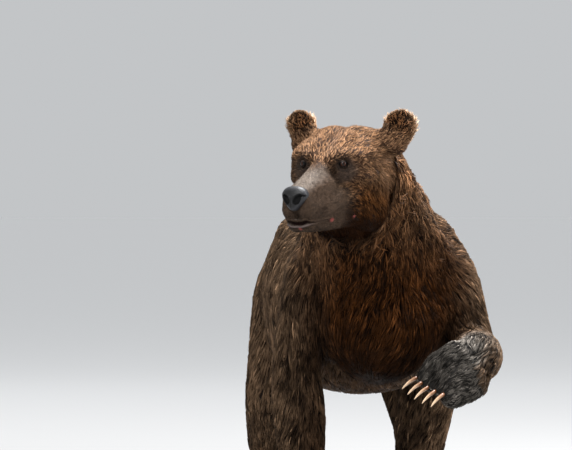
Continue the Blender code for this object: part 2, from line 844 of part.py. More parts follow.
def build():
    clear_scene()
    body = whole_bear()
    parts, body = part_legs(body)
    more, trunk = part_head(body)
    parts.update(more)
    parts["trunk"] = trunk
    parts["head"] = cut_out(parts["head"], mouth())
    for side in SIDES.values():
        parts["nose"] = cut_out(parts["nose"], nostril(side))
    for name in [part for part in parts if "paw" not in part]:
        triangulated(parts[name])
    more, parts["head"] = add_eyes(parts["head"])
    parts.update(more)
    for name in [part for part in parts if "paw" in part]:
        triangulated(parts[name])
    add_claws(parts)
    move = to_origin(parts)
    for name, obj in parts.items():
        obj.name = name
        obj.data.name = name
        painted(obj, name)
    return move


build()
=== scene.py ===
"""The looks of a life-size grizzly bear that wades with its left forepaw lifted.

One skin closes the cuts between the solids of flesh and lies inside them by the coat's depth.
Tufts grow from it along the lie of the coat, and gather into the pointed locks of wet fur.
Metres, +Z up. The bear faces -Y and its own left is +X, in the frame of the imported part.
"""

from math import atan2, cos, degrees, pi, radians, sin, sqrt

import bmesh
import bpy
import numpy as np
from mathutils import Matrix, Vector
from mathutils.bvhtree import BVHTree
from mathutils.kdtree import KDTree


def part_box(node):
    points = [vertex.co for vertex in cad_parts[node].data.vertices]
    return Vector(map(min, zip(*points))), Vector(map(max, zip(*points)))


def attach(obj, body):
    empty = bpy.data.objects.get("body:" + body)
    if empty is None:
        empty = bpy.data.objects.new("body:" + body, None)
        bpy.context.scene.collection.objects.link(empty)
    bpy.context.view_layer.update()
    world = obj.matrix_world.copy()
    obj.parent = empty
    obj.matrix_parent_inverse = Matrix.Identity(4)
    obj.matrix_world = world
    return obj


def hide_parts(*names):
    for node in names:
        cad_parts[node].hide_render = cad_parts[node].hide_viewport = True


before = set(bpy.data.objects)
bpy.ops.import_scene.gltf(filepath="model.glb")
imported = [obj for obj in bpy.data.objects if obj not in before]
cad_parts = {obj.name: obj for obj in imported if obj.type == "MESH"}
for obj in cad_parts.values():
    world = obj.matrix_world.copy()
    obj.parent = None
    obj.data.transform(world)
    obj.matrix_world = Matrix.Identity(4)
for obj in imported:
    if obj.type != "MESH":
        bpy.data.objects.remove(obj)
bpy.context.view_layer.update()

# ---- Driving values, in metres and degrees. ----

CAMERA_AZIMUTH = -6.5  # round towards the bear's right
CAMERA_DISTANCE = 20.0
CAMERA_HEIGHT = 1.55
VIEW_WIDTH = 2.002  # what the picture spans at the shoulders
VIEW_MIDDLE_HEIGHT = 1.137
VIEW_MIDDLE_ACROSS = -0.329  # from the shoulders' middle, to the camera's right
SHOULDER_MIDDLE = Vector((0.0055, -0.3125, 0.0))

SKIN_VOXEL = 0.0042
CUT_CLOSING = 0.0006  # how far each solid grows before they fuse, to close the cuts
SKIN_TRIANGLES = 190000
SEED = 7

SIDES = {"left": 1, "right": -1}
LIMBS = ("upper_arm", "forearm", "forepaw", "thigh", "shank", "hindpaw")
FLESH = ["trunk", "neck", "head", "tail"]
for _side in SIDES:
    FLESH += [f"{_side}_ear"] + [f"{_side}_{limb}" for limb in LIMBS]

# Named colours of a wet grizzly, with some of its painted shade and highlights, as sRGB values.
COLOURS = {
    "deep umber": (20, 12, 7),
    "umber": (50, 35, 24),
    "umber tip": (140, 112, 87),
    "deep russet": (24, 12, 5),
    "russet": (82, 48, 22),
    "russet tip": (132, 84, 45),
    "mane tip": (100, 70, 46),
    "mane root": (40, 22, 12),
    "mane highlight": (156, 114, 80),
    "soaked tip": (54, 32, 16),
    "jaw tip": (60, 34, 16),
    "crown root": (44, 27, 16),
    "fawn": (143, 108, 79),
    "furrow tip": (88, 62, 44),
    "taupe root": (52, 42, 36),
    "taupe": (120, 109, 99),
    "muzzle root": (30, 23, 19),
    "muzzle tip": (86, 68, 54),
    "patch root": (40, 32, 27),
    "patch tip": (124, 102, 87),
    "slate root": (24, 22, 20),
    "slate": (132, 125, 117),
    "ear root": (11, 5, 2),
    "ear tip": (154, 106, 70),
    "straw root": (150, 112, 78),
    "straw": (246, 222, 190),
    "leather": (52, 52, 56),
    "dark leather": (12, 11, 12),
    "lip": (118, 58, 52),
    "lip edge": (92, 80, 78),
    "gape": (30, 12, 10),
    "pale horn": (222, 190, 156),
    "dark horn": (120, 72, 42),
    "shaded horn": (92, 52, 30),
    "iris": (70, 34, 15),
    "pupil": (5, 4, 4),
}


def linear(name):
    """A named colour as Blender's shaders take it."""
    values = [v / 255.0 for v in COLOURS[name]]
    return [v / 12.92 if v <= 0.04045 else ((v + 0.055) / 1.055) ** 2.4 for v in values] + [1.0]


# ---- Small tools. ----


def unit(vectors):
    length = np.linalg.norm(vectors, axis=-1, keepdims=True)
    return vectors / np.maximum(length, 1e-9)


def smooth_step(low, high, value):
    share = np.clip((value - low) / (high - low), 0.0, 1.0)
    return share * share * (3.0 - 2.0 * share)


def mixed(a, b, share):
    return a + (b - a) * share


def bump_at(points, centre, radii, axes=None):
    """1 at the centre, falling smoothly to 0 on an ellipsoid of the given radii."""
    away = (points - np.asarray(centre)) / np.asarray(radii)
    return 1.0 - smooth_step(0.0, 1.0, np.linalg.norm(away, axis=1))


def coordinates(mesh):
    flat = np.empty(len(mesh.vertices) * 3, np.float32)
    mesh.vertices.foreach_get("co", flat)
    return flat.reshape(-1, 3).astype(float)


def place_vertices(mesh, points):
    mesh.vertices.foreach_set("co", np.asarray(points, np.float32).ravel())
    mesh.update()


def vertex_normals(mesh):
    flat = np.empty(len(mesh.vertices) * 3, np.float32)
    mesh.vertex_normals.foreach_get("vector", flat)
    return flat.reshape(-1, 3).astype(float)


def triangle_corners(mesh):
    mesh.calc_loop_triangles()
    flat = np.empty(len(mesh.loop_triangles) * 3, np.int32)
    mesh.loop_triangles.foreach_get("vertices", flat)
    return flat.reshape(-1, 3)


def new_object(name, mesh):
    obj = bpy.data.objects.new(name, mesh)
    bpy.context.scene.collection.objects.link(obj)
    return obj


def mesh_from(name, points, faces):
    """A mesh from numpy arrays: faces all have the same number of corners."""
    mesh = bpy.data.meshes.new(name)
    count, corners = faces.shape
    mesh.vertices.add(len(points))
    mesh.vertices.foreach_set("co", np.asarray(points, np.float32).ravel())
    mesh.loops.add(count * corners)
    mesh.loops.foreach_set("vertex_index", faces.astype(np.int32).ravel())
    mesh.polygons.add(count)
    mesh.polygons.foreach_set("loop_start", np.arange(count, dtype=np.int32) * corners)
    mesh.polygons.foreach_set("use_smooth", np.ones(count, bool))
    mesh.update(calc_edges=True)
    return mesh


def applied(obj, name):
    """The object with its modifiers made real, under a new name."""
    bpy.context.view_layer.update()
    graph = bpy.context.evaluated_depsgraph_get()
    mesh = bpy.data.meshes.new_from_object(obj.evaluated_get(graph))
    bpy.data.objects.remove(obj, do_unlink=True)
    return new_object(name, mesh)


def remeshed(obj, voxel, name):
    change = obj.modifiers.new("fuse", "REMESH")
    change.mode = "VOXEL"
    change.voxel_size = voxel
    return applied(obj, name)


def grown_copy(names, name, growth):
    """The named solids as one object, each grown a little so that they overlap."""
    points, faces, start = [], [], 0
    for node in names:
        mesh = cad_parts[node].data
        points.append(coordinates(mesh) + vertex_normals(mesh) * growth)
        faces.append(triangle_corners(mesh) + start)
        start += len(mesh.vertices)
    return new_object(name, mesh_from(name, np.concatenate(points), np.concatenate(faces)))


def add_values(mesh, name, values):
    attribute = mesh.attributes.new(name, "FLOAT", "POINT")
    attribute.data.foreach_set("value", np.asarray(values, np.float32))


# ---- Landmarks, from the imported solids. ----


def node_points(name):
    return coordinates(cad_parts[name].data)


def middle(name):
    low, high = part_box(name)
    return (low + high) / 2


def node_tree(name):
    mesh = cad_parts[name].data
    return BVHTree.FromPolygons(coordinates(mesh).tolist(), triangle_corners(mesh).tolist())


def seam(first, second):
    """The middle of the cut between two solids."""
    tree = node_tree(second)
    touching = [p for p in node_points(first) if tree.find_nearest(Vector(p), 0.0015)[0]]
    return Vector(np.mean(touching, axis=0))


NOSE_DROP = 24.4  # how far below the head's own forward the nose lies, seen from the eyes


def head_frame():
    """Origin midway between the eyes, +X to the bear's left, -Y forward and +Z up."""
    left = (middle("left_eye") - middle("right_eye")).normalized()
    origin = (middle("left_eye") + middle("right_eye")) / 2
    to_nose = middle("nose") - origin
    to_nose = (to_nose - left * to_nose.dot(left)).normalized()
    forward = Matrix.Rotation(radians(-NOSE_DROP), 3, left) @ to_nose
    up = forward.cross(left)
    up = up if up.z > 0 else -up
    matrix = Matrix((left, -forward, up)).transposed().to_4x4()
    matrix.translation = origin
    return matrix


HEAD = head_frame()
INTO_HEAD = np.array(HEAD.inverted())


def in_head(points):
    """World points in the head's own frame."""
    return points @ INTO_HEAD[:3, :3].T + INTO_HEAD[:3, 3]


def joints():
    """The middle of every cut, and the ends of the limbs."""
    found = {
        "nose": middle("nose"),
        "eyes": HEAD.translation.copy(),
        "poll": seam("neck", "head"),
        "withers": seam("trunk", "neck"),
        "tail": seam("trunk", "tail"),
        "tail tip": middle("tail") + Vector((0.0, 0.03, -0.06)),
    }
    for side in SIDES:
        arm = [f"{side}_{limb}" for limb in LIMBS]
        found[f"{side} shoulder"] = seam("trunk", arm[0])
        found[f"{side} elbow"] = seam(arm[0], arm[1])
        found[f"{side} wrist"] = seam(arm[1], arm[2])
        found[f"{side} fingers"] = middle(f"{side}_forepaw_claw_3")
        found[f"{side} hip"] = seam("trunk", arm[3])
        found[f"{side} knee"] = seam(arm[3], arm[4])
        found[f"{side} ankle"] = seam(arm[4], arm[5])
        found[f"{side} toes"] = middle(f"{side}_hindpaw_claw_3")
        found[f"{side} ear"] = seam("head", f"{side}_ear")
        found[f"{side} ear tip"] = found[f"{side} ear"].lerp(middle(f"{side}_ear"), 2.0)
    return found


JOINTS = joints()


# ---- The skin. ----

# For each kind of solid: how far the skin lies inside it, and its tufts' length, width,
# spacing and lift off the skin.
COAT = {
    "trunk": (0.0150, 0.092, 0.0047, 0.0075, 0.0090),
    "neck": (0.0180, 0.084, 0.0048, 0.0061, 0.0150),
    "head": (0.0065, 0.019, 0.0024, 0.0026, 0.0040),
    "ear": (0.0022, 0.014, 0.0018, 0.0021, 0.0030),
    "tail": (0.0140, 0.070, 0.0054, 0.0050, 0.0130),
    "upper_arm": (0.0140, 0.084, 0.0044, 0.0068, 0.0085),
    "forearm": (0.0100, 0.052, 0.0040, 0.0058, 0.0058),
    "forepaw": (0.0060, 0.026, 0.0030, 0.0036, 0.0050),
    "thigh": (0.0150, 0.086, 0.0047, 0.0075, 0.0085),
    "shank": (0.0110, 0.060, 0.0043, 0.0066, 0.0068),
    "hindpaw": (0.0055, 0.022, 0.0030, 0.0038, 0.0044),
}
DEPTH, LENGTH, WIDTH, SPACING, LIFT = range(5)


def kind(node):
    return node.split("_", 1)[1] if node.split("_")[0] in SIDES else node


class Surface:
    """A triangle mesh as arrays, with what is known at each of its vertices."""

    def __init__(self, obj):
        self.obj = obj
        self.read()

    def read(self):
        mesh = self.obj.data
        self.points = coordinates(mesh)
        self.normals = vertex_normals(mesh)
        self.triangles = triangle_corners(mesh)
        ends = np.empty(len(mesh.edges) * 2, np.int32)
        mesh.edges.foreach_get("vertices", ends)
        self.edges = ends.reshape(-1, 2)

    def write(self):
        place_vertices(self.obj.data, self.points)
        self.read()

    def eased(self, values, passes, share=0.5):
        """The values, one row for each vertex, averaged with their neighbours'."""
        a, b = self.edges.T
        count = np.maximum(np.bincount(a, minlength=len(values)) + np.bincount(b, minlength=len(values)), 1)
        values = np.array(values, float).reshape(len(values), -1)
        share = np.reshape(share, (-1, 1)) if np.ndim(share) else share
        for _ in range(passes):
            total = np.empty_like(values)
            for column in range(values.shape[1]):
                one = values[:, column]
                total[:, column] = np.bincount(a, one[b], len(one)) + np.bincount(b, one[a], len(one))
            values = values + (total / count[:, None] - values) * share
        return values if values.shape[1] > 1 else values[:, 0]


def drop_small_islands(obj):
    """Keeps only the largest connected body of a mesh."""
    mesh = obj.data
    ends = np.empty(len(mesh.edges) * 2, np.int32)
    mesh.edges.foreach_get("vertices", ends)
    a, b = ends.reshape(-1, 2).T
    label = np.arange(len(mesh.vertices))
    while True:
        low = np.minimum(label[a], label[b])
        before = label.copy()
        np.minimum.at(label, a, low)
        np.minimum.at(label, b, low)
        label = label[label]
        if np.array_equal(before, label):
            break
    main = np.bincount(label).argmax()
    spare = np.flatnonzero(label != main)
    if len(spare):
        edit = bmesh.new()
        edit.from_mesh(mesh)
        edit.verts.ensure_lookup_table()
        bmesh.ops.delete(edit, geom=[edit.verts[i] for i in spare], context="VERTS")
        edit.to_mesh(mesh)
        edit.free()


def nearest_nodes(points, names):
    """For each point, the index of the named solid that lies nearest."""
    corners, faces, owner, start = [], [], [], 0
    for index, name in enumerate(names):
        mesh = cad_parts[name].data
        corners.append(coordinates(mesh))
        tris = triangle_corners(mesh)
        faces.append(tris + start)
        owner.append(np.full(len(tris), index))
        start += len(mesh.vertices)
    tree = BVHTree.FromPolygons(np.concatenate(corners).tolist(), np.concatenate(faces).tolist())
    owner = np.concatenate(owner)
    return np.array([owner[tree.find_nearest(Vector(p))[2]] for p in points])


def near_head(points):
    return 1.0 - smooth_step(0.20, 0.33, np.linalg.norm(in_head(points) - (0.0, 0.02, -0.06), axis=1))


def near_paws(points):
    near = np.zeros(len(points))
    for side in SIDES:
        for end, back in (("fingers", "wrist"), ("toes", "ankle")):
            toes, root = np.array(JOINTS[f"{side} {end}"]), np.array(JOINTS[f"{side} {back}"])
            middle_of_paw = toes + (root - toes) * 0.45
            away = np.linalg.norm(points - middle_of_paw, axis=1)
            near = np.maximum(near, 1.0 - smooth_step(0.14, 0.22, away))
    return near


def near_face_detail(points):
    """The face from the brow to the chin, where folds and lips are finer than the skin's mesh."""
    p = in_head(points)
    return (p[:, 1] < 0.055) & (np.abs(p[:, 0]) < 0.13) & (np.linalg.norm(p, axis=1) < 0.30)


EYE_RADIUS = (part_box("left_eye")[1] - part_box("left_eye")[0]).z / 2
EYES = {side: np.array(HEAD.inverted() @ middle(f"{side}_eye")) for side in SIDES}


def near_eyes(points, reach=0.034):
    p = in_head(points)
    return np.minimum(*(np.linalg.norm(p - EYES[side], axis=1) for side in SIDES)) < reach


def thinned(obj, triangles):
    """Fewer triangles, with most of them kept on the head and the paws."""
    points = coordinates(obj.data)
    fine = np.maximum(near_head(points), near_paws(points))
    group = obj.vertex_groups.new(name="thinning")
    level = np.round((1.0 - 0.9 * fine) * 10).astype(int)
    for step in range(1, 11):
        group.add(np.flatnonzero(level == step).tolist(), step / 10, "REPLACE")
    thin = obj.modifiers.new("thin", "DECIMATE")
    thin.ratio = triangles / (2.0 * len(obj.data.polygons))
    thin.vertex_group = "thinning"
    thin.vertex_group_factor = 0.05
    obj = applied(obj, obj.name)
    obj.vertex_groups.clear()
    return obj


def refined(obj, chosen):
    """Divides the triangles where chosen(points) is true."""
    pick = chosen(coordinates(obj.data))
    edit = bmesh.new()
    edit.from_mesh(obj.data)
    edges = [e for e in edit.edges if pick[e.verts[0].index] and pick[e.verts[1].index]]
    bmesh.ops.subdivide_edges(edit, edges=edges, cuts=1, use_grid_fill=True)
    bmesh.ops.triangulate(edit, faces=[f for f in edit.faces if len(f.verts) > 3])
    edit.to_mesh(obj.data)
    edit.free()
    return obj


def fused_flesh():
    """The solids of flesh as one smooth body, fine on the face, as a Surface."""
    obj = remeshed(grown_copy(FLESH, "flesh", CUT_CLOSING), SKIN_VOXEL, "skin")
    skin = Surface(obj)
    fine = np.maximum(near_head(skin.points), near_paws(skin.points))
    skin.points = skin.eased(skin.points, 60, 0.55 * (1.0 - 0.95 * fine))
    skin.points = skin.eased(skin.points, 7, 0.5)
    skin.write()
    obj = thinned(obj, SKIN_TRIANGLES)
    drop_small_islands(obj)
    obj = refined(refined(obj, near_face_detail), near_eyes)
    return Surface(obj)


# ---- The lie of the coat. ----

# Where the hair points on each kind of solid, in the world's axes; x is outward.
LIE = {
    "trunk": (0.10, 0.85, -0.75),
    "neck": (0.22, 0.45, -0.80),
    "tail": (0.0, 0.6, -0.8),
    "upper_arm": (0.45, 0.25, -1.0),
    "forearm": (0.30, 0.15, -1.0),
    "thigh": (0.12, 0.30, -1.0),
    "shank": (0.05, 0.10, -1.0),
}


def lie_on_head(points):
    """Back from the nose, up over the forehead, and down behind the cheeks."""
    p = in_head(points)
    side = np.sign(p[:, 0])
    cheek = smooth_step(0.045, 0.115, np.abs(p[:, 0])) * smooth_step(0.03, -0.05, p[:, 2])
    cheek *= smooth_step(-0.03, 0.06, p[:, 1])
    crown = smooth_step(0.00, 0.06, p[:, 2])
    low = smooth_step(-0.10, -0.17, p[:, 2])
    local = np.stack(
        [
            side * (0.25 + 0.30 * crown) * smooth_step(0.0, 0.05, np.abs(p[:, 0])),
            1.0 - 0.35 * cheek,
            0.30 * crown - 1.15 * cheek - 0.35 * low,
        ],
        axis=1,
    )
    return local @ INTO_HEAD[:3, :3]


def lie_of_coat(skin, node):
    """The hair's direction at each vertex of the skin, along it and of unit length."""
    lie = np.zeros_like(skin.points)
    for index, name in enumerate(FLESH):
        here = node == index
        if not here.any():
            continue
        points = skin.points[here]
        part = kind(name)
        side = name.split("_")[0]
        if part == "head":
            lie[here] = lie_on_head(points)
        elif part == "ear":
            root, tip = np.array(JOINTS[f"{side} ear"]), np.array(JOINTS[f"{side} ear tip"])
            lie[here] = unit(tip - root) * 0.75 + unit(points - root)
        elif part in ("forepaw", "hindpaw"):
            start = np.array(JOINTS[f"{side} wrist" if part == "forepaw" else f"{side} ankle"])
            end = np.array(JOINTS[f"{side} fingers" if part == "forepaw" else f"{side} toes"])
            lie[here] = unit(end - start)
        elif name == "left_forearm":
            bone = unit(np.array(JOINTS["left wrist"]) - np.array(JOINTS["left elbow"]))
            lie[here] = bone + np.array((0.0, 0.0, -0.55))
        else:
            out, back, up = LIE[part]
            outward = np.sign(points[:, 0]) * smooth_step(0.0, 0.08, np.abs(points[:, 0]))
            lie[here] = np.stack([out * outward, np.full(len(points), back), np.full(len(points), up)], axis=1)
            if part in ("trunk", "neck"):
                breast = smooth_step(-0.30, -0.50, points[:, 1]) * smooth_step(1.15, 0.95, points[:, 2])
                lie[here, 1] *= 1.0 - breast
                flank = smooth_step(0.35, -0.05, skin.normals[here, 2])
                lie[here, 1] *= 1.0 - 0.45 * flank
    lie = skin.eased(unit(lie), 25)
    lie -= skin.normals * np.sum(lie * skin.normals, axis=1, keepdims=True)
    return unit(lie)


# ---- Folds and openings of the face. ----


def sink(skin, depth):
    skin.points -= skin.normals * depth[:, None]
    skin.points[:, 2] = np.maximum(skin.points[:, 2], 0.0005)


GAZE_OUT = 0.62  # how far each eye looks outward, for 1 forward


def eye_axes(side):
    """The way that an eye looks, the way to its outer corner and its up, in the head's frame."""
    gaze = unit(np.array((GAZE_OUT * SIDES[side], -1.0, 0.04)))
    up = unit(np.array((0.0, 0.0, 1.0)) - gaze * gaze[2])
    return gaze, np.cross(gaze, up) * -SIDES[side], up


EYE_HALF_WIDTH = 0.0135
EYE_HALF_HEIGHT = 0.0064
LID = 0.0016


def open_eyes(skin):
    """Lays the lids on each eyeball, with an almond-shaped opening. Returns the rims' mask."""
    p = in_head(skin.points)
    rim = np.zeros(len(p))
    for side in SIDES:
        gaze, outer, up = eye_axes(side)
        away = p - EYES[side]
        deep, across, high = away @ gaze, away @ outer, away @ up
        high = high + across * 0.10  # the outer corner lies a little lower
        radius = np.hypot(across, high)
        near = (radius < 0.030) & (deep > -0.012)
        almond = np.hypot(across / EYE_HALF_WIDTH, high / EYE_HALF_HEIGHT)
        on_ball = np.sqrt(np.maximum((EYE_RADIUS + LID) ** 2 - radius**2, 0.0))
        behind = np.sqrt(np.maximum((EYE_RADIUS * 0.80) ** 2 - radius**2, 0.0))
        lids = mixed(behind, on_ball, smooth_step(0.86, 1.06, almond))
        # The brow hangs over the upper lid, and a fold runs below the lower one.
        fold = 0.0022 * np.exp(-((almond - 1.75) ** 2) / 0.05)
        share = 1.0 - smooth_step(0.0125, 0.024, radius)
        target = mixed(deep, lids, share) - fold * (1.0 - share * 0.5)
        moved = np.where(near, target - deep, 0.0)
        skin.points += (moved[:, None] * gaze) @ np.array(HEAD.to_3x3()).T
        rim = np.maximum(rim, np.where(near, 1.0 - smooth_step(0.10, 0.45, np.abs(almond - 1.05)), 0.0))
        rim = np.maximum(rim, np.where(near & (almond < 1.0), 1.0, 0.0))
    return rim


MOUTH_FRONT = -0.205  # where the line between the lips starts and ends, along the head's y
MOUTH_CORNER = -0.094
MOUTH_HEIGHT = -0.174
MOUTH_OPEN = 0.0062  # half of the gap in front


def ridge(value, middle_value, width):
    """1 at the middle value, falling to 0 as a bell of the given width."""
    return np.exp(-(((value - middle_value) / width) ** 2))


def shape_face(skin):
    """Parts the lips, and folds the skin of the nose, chin and brow. Returns marks of the lips."""
    p = in_head(skin.points)
    x, y, z = p.T
    wide = np.abs(x)
    muzzle = smooth_step(MOUTH_CORNER + 0.012, MOUTH_CORNER - 0.004, y) * smooth_step(-0.10, -0.13, z)
    front = smooth_step(-0.125, -0.160, y) * smooth_step(0.060, 0.030, wide)
    line = MOUTH_HEIGHT - 0.004 * smooth_step(-0.12, -0.19, y) + 0.006 * smooth_step(0.012, 0.045, wide) * front
    half = mixed(0.0016, MOUTH_OPEN, front)
    below = (z - line) / half
    gape = muzzle * (1.0 - smooth_step(0.75, 1.25, np.abs(below)))
    upper_edge = muzzle * ridge(z, line + half * 1.9, 0.0032)
    lower_edge = muzzle * ridge(z, line - half * 1.7, 0.0030)
    depth = mixed(0.0022, 0.0150, front) * gape
    depth -= 0.0018 * upper_edge + mixed(0.0010, 0.0036, front) * lower_edge
    groove = front * ridge(x, 0.0, 0.0026) * smooth_step(line + half, line + half + 0.004, z)
    depth += 0.0022 * groove
    # The chin stands out below its own fold, and the brow is furrowed between the eyes.
    depth += 0.0020 * front * ridge(z, -0.196, 0.0040)
    depth += 0.0030 * ridge(x, 0.0, 0.013) * ridge(z, 0.060, 0.030) * smooth_step(0.09, 0.04, y)
    depth -= 0.0075 * ridge(x, 0.0, 0.032) * smooth_step(0.085, 0.115, z)
    # Whisker pads swell beside the nose.
    pad = ridge(wide, 0.038, 0.020) * ridge(z, -0.140, 0.022) * smooth_step(-0.12, -0.15, y)
    depth -= 0.0035 * pad
    skin.points -= skin.normals * depth[:, None]
    corner = np.zeros(len(p))
    for sign in SIDES.values():
        away = np.hypot(y - MOUTH_CORNER, (z - MOUTH_HEIGHT + 0.004) / 0.8)
        corner = np.maximum(corner, smooth_step(0.0115, 0.0070, away) * smooth_step(0.02, 0.03, sign * x))
        away = np.linalg.norm(p - (0.109 * sign, 0.002, -0.181), axis=1)
        corner = np.maximum(corner, 0.9 * smooth_step(0.0125, 0.0075, away))
    sore = smooth_step(0.0095, 0.0050, np.hypot(x - 0.008, (z + 0.196) * 1.4)) * smooth_step(-0.14, -0.16, y)
    # The gape's colour is the dark red of the inside of the mouth, deepened as painted shade between the lips.
    return {
        "gape": np.clip(gape * (0.25 + 0.75 * front), 0, 1),
        "lip": np.clip(np.maximum(corner, sore), 0, 1),
        "lip_edge": np.clip(lower_edge * front, 0, 1),
    }


# ---- Ears and the lifted paw. ----

EAR_TURN = {"left": 16.0, "right": 2.0}  # how far outward each ear's opening faces
EAR_CUP = 0.009  # how much deeper the skin makes its cup


def ear_insides(skin, node):
    """How much each vertex lies in the cup of an ear, and how much on its upper rim."""
    inside, rim = np.zeros(len(skin.points)), np.zeros(len(skin.points))
    outward = np.zeros_like(skin.points)
    for side, sign in SIDES.items():
        here = node == FLESH.index(f"{side}_ear")
        turn = radians(EAR_TURN[side])
        opening = np.array(HEAD.to_3x3()) @ (sin(turn) * sign, -cos(turn), 0.0)
        facing = skin.normals @ opening
        root, tip = np.array(JOINTS[f"{side} ear"]), np.array(JOINTS[f"{side} ear tip"])
        axis = unit(tip - root)
        disc = root + axis * np.linalg.norm(tip - root) * 0.46
        away = skin.points - disc
        away = away - opening * (away @ opening)[:, None]
        out = np.linalg.norm(away, axis=1)
        outward = np.where(here[:, None], away / out[:, None], outward)
        cup = smooth_step(0.35, 0.75, facing) * smooth_step(0.061, 0.050, out)
        edge = smooth_step(0.040, 0.052, out) * smooth_step(-0.45, 0.0, facing)
        inside = np.where(here, cup, inside)
        rim = np.where(here, edge * (1.0 - cup), rim)
        skin.points -= (EAR_CUP * cup * here)[:, None] * opening
    skin.write()
    return skin.eased(inside, 2), skin.eased(rim, 2), outward


def paw_pads(skin, node):
    """The bare pads of the lifted paw: one under each toe, and one under the palm."""
    here = node == FLESH.index("left_forepaw")
    ahead = unit(np.array(JOINTS["left fingers"] - JOINTS["left wrist"]))
    row = unit(np.array(middle("left_forepaw_claw_5") - middle("left_forepaw_claw_1")))
    back = unit(np.cross(row, ahead))
    if back[2] < 0:
        back = -back
    facing = -(skin.normals @ back)
    pads = np.zeros(len(skin.points))
    palm = np.array(JOINTS["left wrist"].lerp(JOINTS["left fingers"], 0.45))
    away = (skin.points - palm) @ np.stack([row, ahead], axis=1)
    pads = np.maximum(pads, smooth_step(1.0, 0.8, np.hypot(away[:, 0] / 0.066, away[:, 1] / 0.030)))
    for number in range(1, 6):
        toe = np.array(middle(f"left_forepaw_claw_{number}")) - ahead * 0.042
        away = (skin.points - toe) @ np.stack([row, ahead], axis=1)
        pads = np.maximum(pads, smooth_step(1.0, 0.75, np.hypot(away[:, 0] / 0.014, away[:, 1] / 0.017)))
    return np.where(here, pads * smooth_step(0.15, 0.45, facing), 0.0)


# ---- Tufts. ----


class Tufts:
    """Roots on the skin, each with its size and what is known of the skin there."""

    def __init__(self, skin, spacing, chosen, bare, rng):
        corners = skin.points[skin.triangles]
        area = np.linalg.norm(np.cross(corners[:, 1] - corners[:, 0], corners[:, 2] - corners[:, 0]), axis=1) / 2
        gap = spacing[skin.triangles].mean(axis=1)
        keep = chosen[skin.triangles[:, 0]] & (bare[skin.triangles].max(axis=1) < 0.6)
        weight = np.where(keep, area / gap**2, 0.0)
        count = int(weight.sum() * 2.6)
        picked = rng.choice(len(weight), count, p=weight / weight.sum())
        u, v = np.sqrt(rng.random(count)), rng.random(count)
        shares = np.stack([1.0 - u, u * (1.0 - v), u * v], axis=1)
        corner_ids = skin.triangles[picked]
        places = np.einsum("nk,nkx->nx", shares, skin.points[corner_ids])
        keep = spread_out(places, gap[picked])
        self.corner_ids, self.shares, self.roots = corner_ids[keep], shares[keep], places[keep]

    def of(self, values):
        """The skin's values at the roots."""
        if values.ndim == 1:
            return np.einsum("nk,nk->n", self.shares, values[self.corner_ids])
        return np.einsum("nk,nkx->nx", self.shares, values[self.corner_ids])


def spread_out(places, gap):
    """Which of the places to keep, so that no two in one cell of the local spacing remain."""
    level = np.round(np.log(gap / gap.min()) / np.log(1.12)).astype(int)
    size = gap.min() * 1.12**level
    tilt = np.array(Matrix.Rotation(0.6, 3, (0.48, 0.6, 0.64)))
    cell = np.floor(places @ tilt / size[:, None]).astype(np.int64) + 5000
    key = ((level * 20000 + cell[:, 0]) * 20000 + cell[:, 1]) * 20000 + cell[:, 2]
    return np.unique(key, return_index=True)[1]


class Shape:
    """A kind of tuft: rings of three corners along its length, and then its point."""

    def __init__(self, along, fullness, rise, thickness):
        self.along = along  # where the rings and the point lie, from 0 to 1
        self.fullness = fullness  # how wide each ring is, as a share of the width
        self.rise = rise  # how high the rings and the point stand, as shares of the lift
        self.thickness = thickness  # as a share of the width
        self.rings = len(fullness)
        self.corners = 3 * self.rings + 1


CURLED = Shape((0.0, 0.34, 0.68, 1.0), (1.0, 0.88, 0.55), (-0.30, 0.35, 0.80, 1.0), 0.45)
LONG = Shape((0.0, 0.50, 1.0), (1.0, 0.74), (-0.30, 0.55, 0.90), 0.45)
SHORT = Shape((0.0, 1.0), (1.0,), (-0.45, 0.85), 0.45)


class Guide:
    """Follows the lie of the coat over the skin."""

    def __init__(self, skin, lie):
        self.skin, self.lie = skin, lie
        self.tree = BVHTree.FromPolygons(skin.points.tolist(), skin.triangles.tolist())

    def touch(self, points):
        """The nearest places on the skin, with its normal and the hair's direction there."""
        found = [self.tree.find_nearest(point) for point in points.tolist()]
        places = np.array([tuple(f[0]) for f in found])
        corner_ids = self.skin.triangles[[f[2] for f in found]]
        a, b, c = np.moveaxis(self.skin.points[corner_ids], 1, 0)
        whole = np.cross(b - a, c - a)
        size = np.maximum(np.sum(whole * whole, axis=1), 1e-20)
        share_b = np.sum(np.cross(places - a, c - a) * whole, axis=1) / size
        share_c = np.sum(np.cross(b - a, places - a) * whole, axis=1) / size
        shares = np.stack([1.0 - share_b - share_c, share_b, share_c], axis=1)
        up = unit(np.einsum("nk,nkx->nx", shares, self.skin.normals[corner_ids]))
        way = unit(np.einsum("nk,nkx->nx", shares, self.lie[corner_ids]))
        return places, up, way

    def walk(self, roots, turn, length, shape):
        """A path over the skin from each root: its points and the skin's normals there."""
        places, ups, here = [], [], roots
        for step, along in enumerate(shape.along):
            here, up, way = self.touch(here)
            places.append(here)
            ups.append(up)
            if step < shape.rings:
                way = way * np.cos(turn)[:, None] + np.cross(up, way) * np.sin(turn)[:, None]
                here = here + way * (length * (shape.along[step + 1] - along))[:, None]
        return np.stack(places, axis=1), np.stack(ups, axis=1)


def leaders(roots, gap, rng):
    """For each root, the index of the root that leads its clump, and how far off it is."""
    order = rng.permutation(len(roots))
    seeds = order[spread_out(roots[order], gap[order])]
    tree = KDTree(len(seeds))
    for index, seed in enumerate(seeds):
        tree.insert(roots[seed], index)
    tree.balance()
    found = [tree.find(p) for p in roots]
    away = np.array([f[2] for f in found]) / gap
    return seeds[[f[1] for f in found]], np.clip(away, 0.0, 1.0)


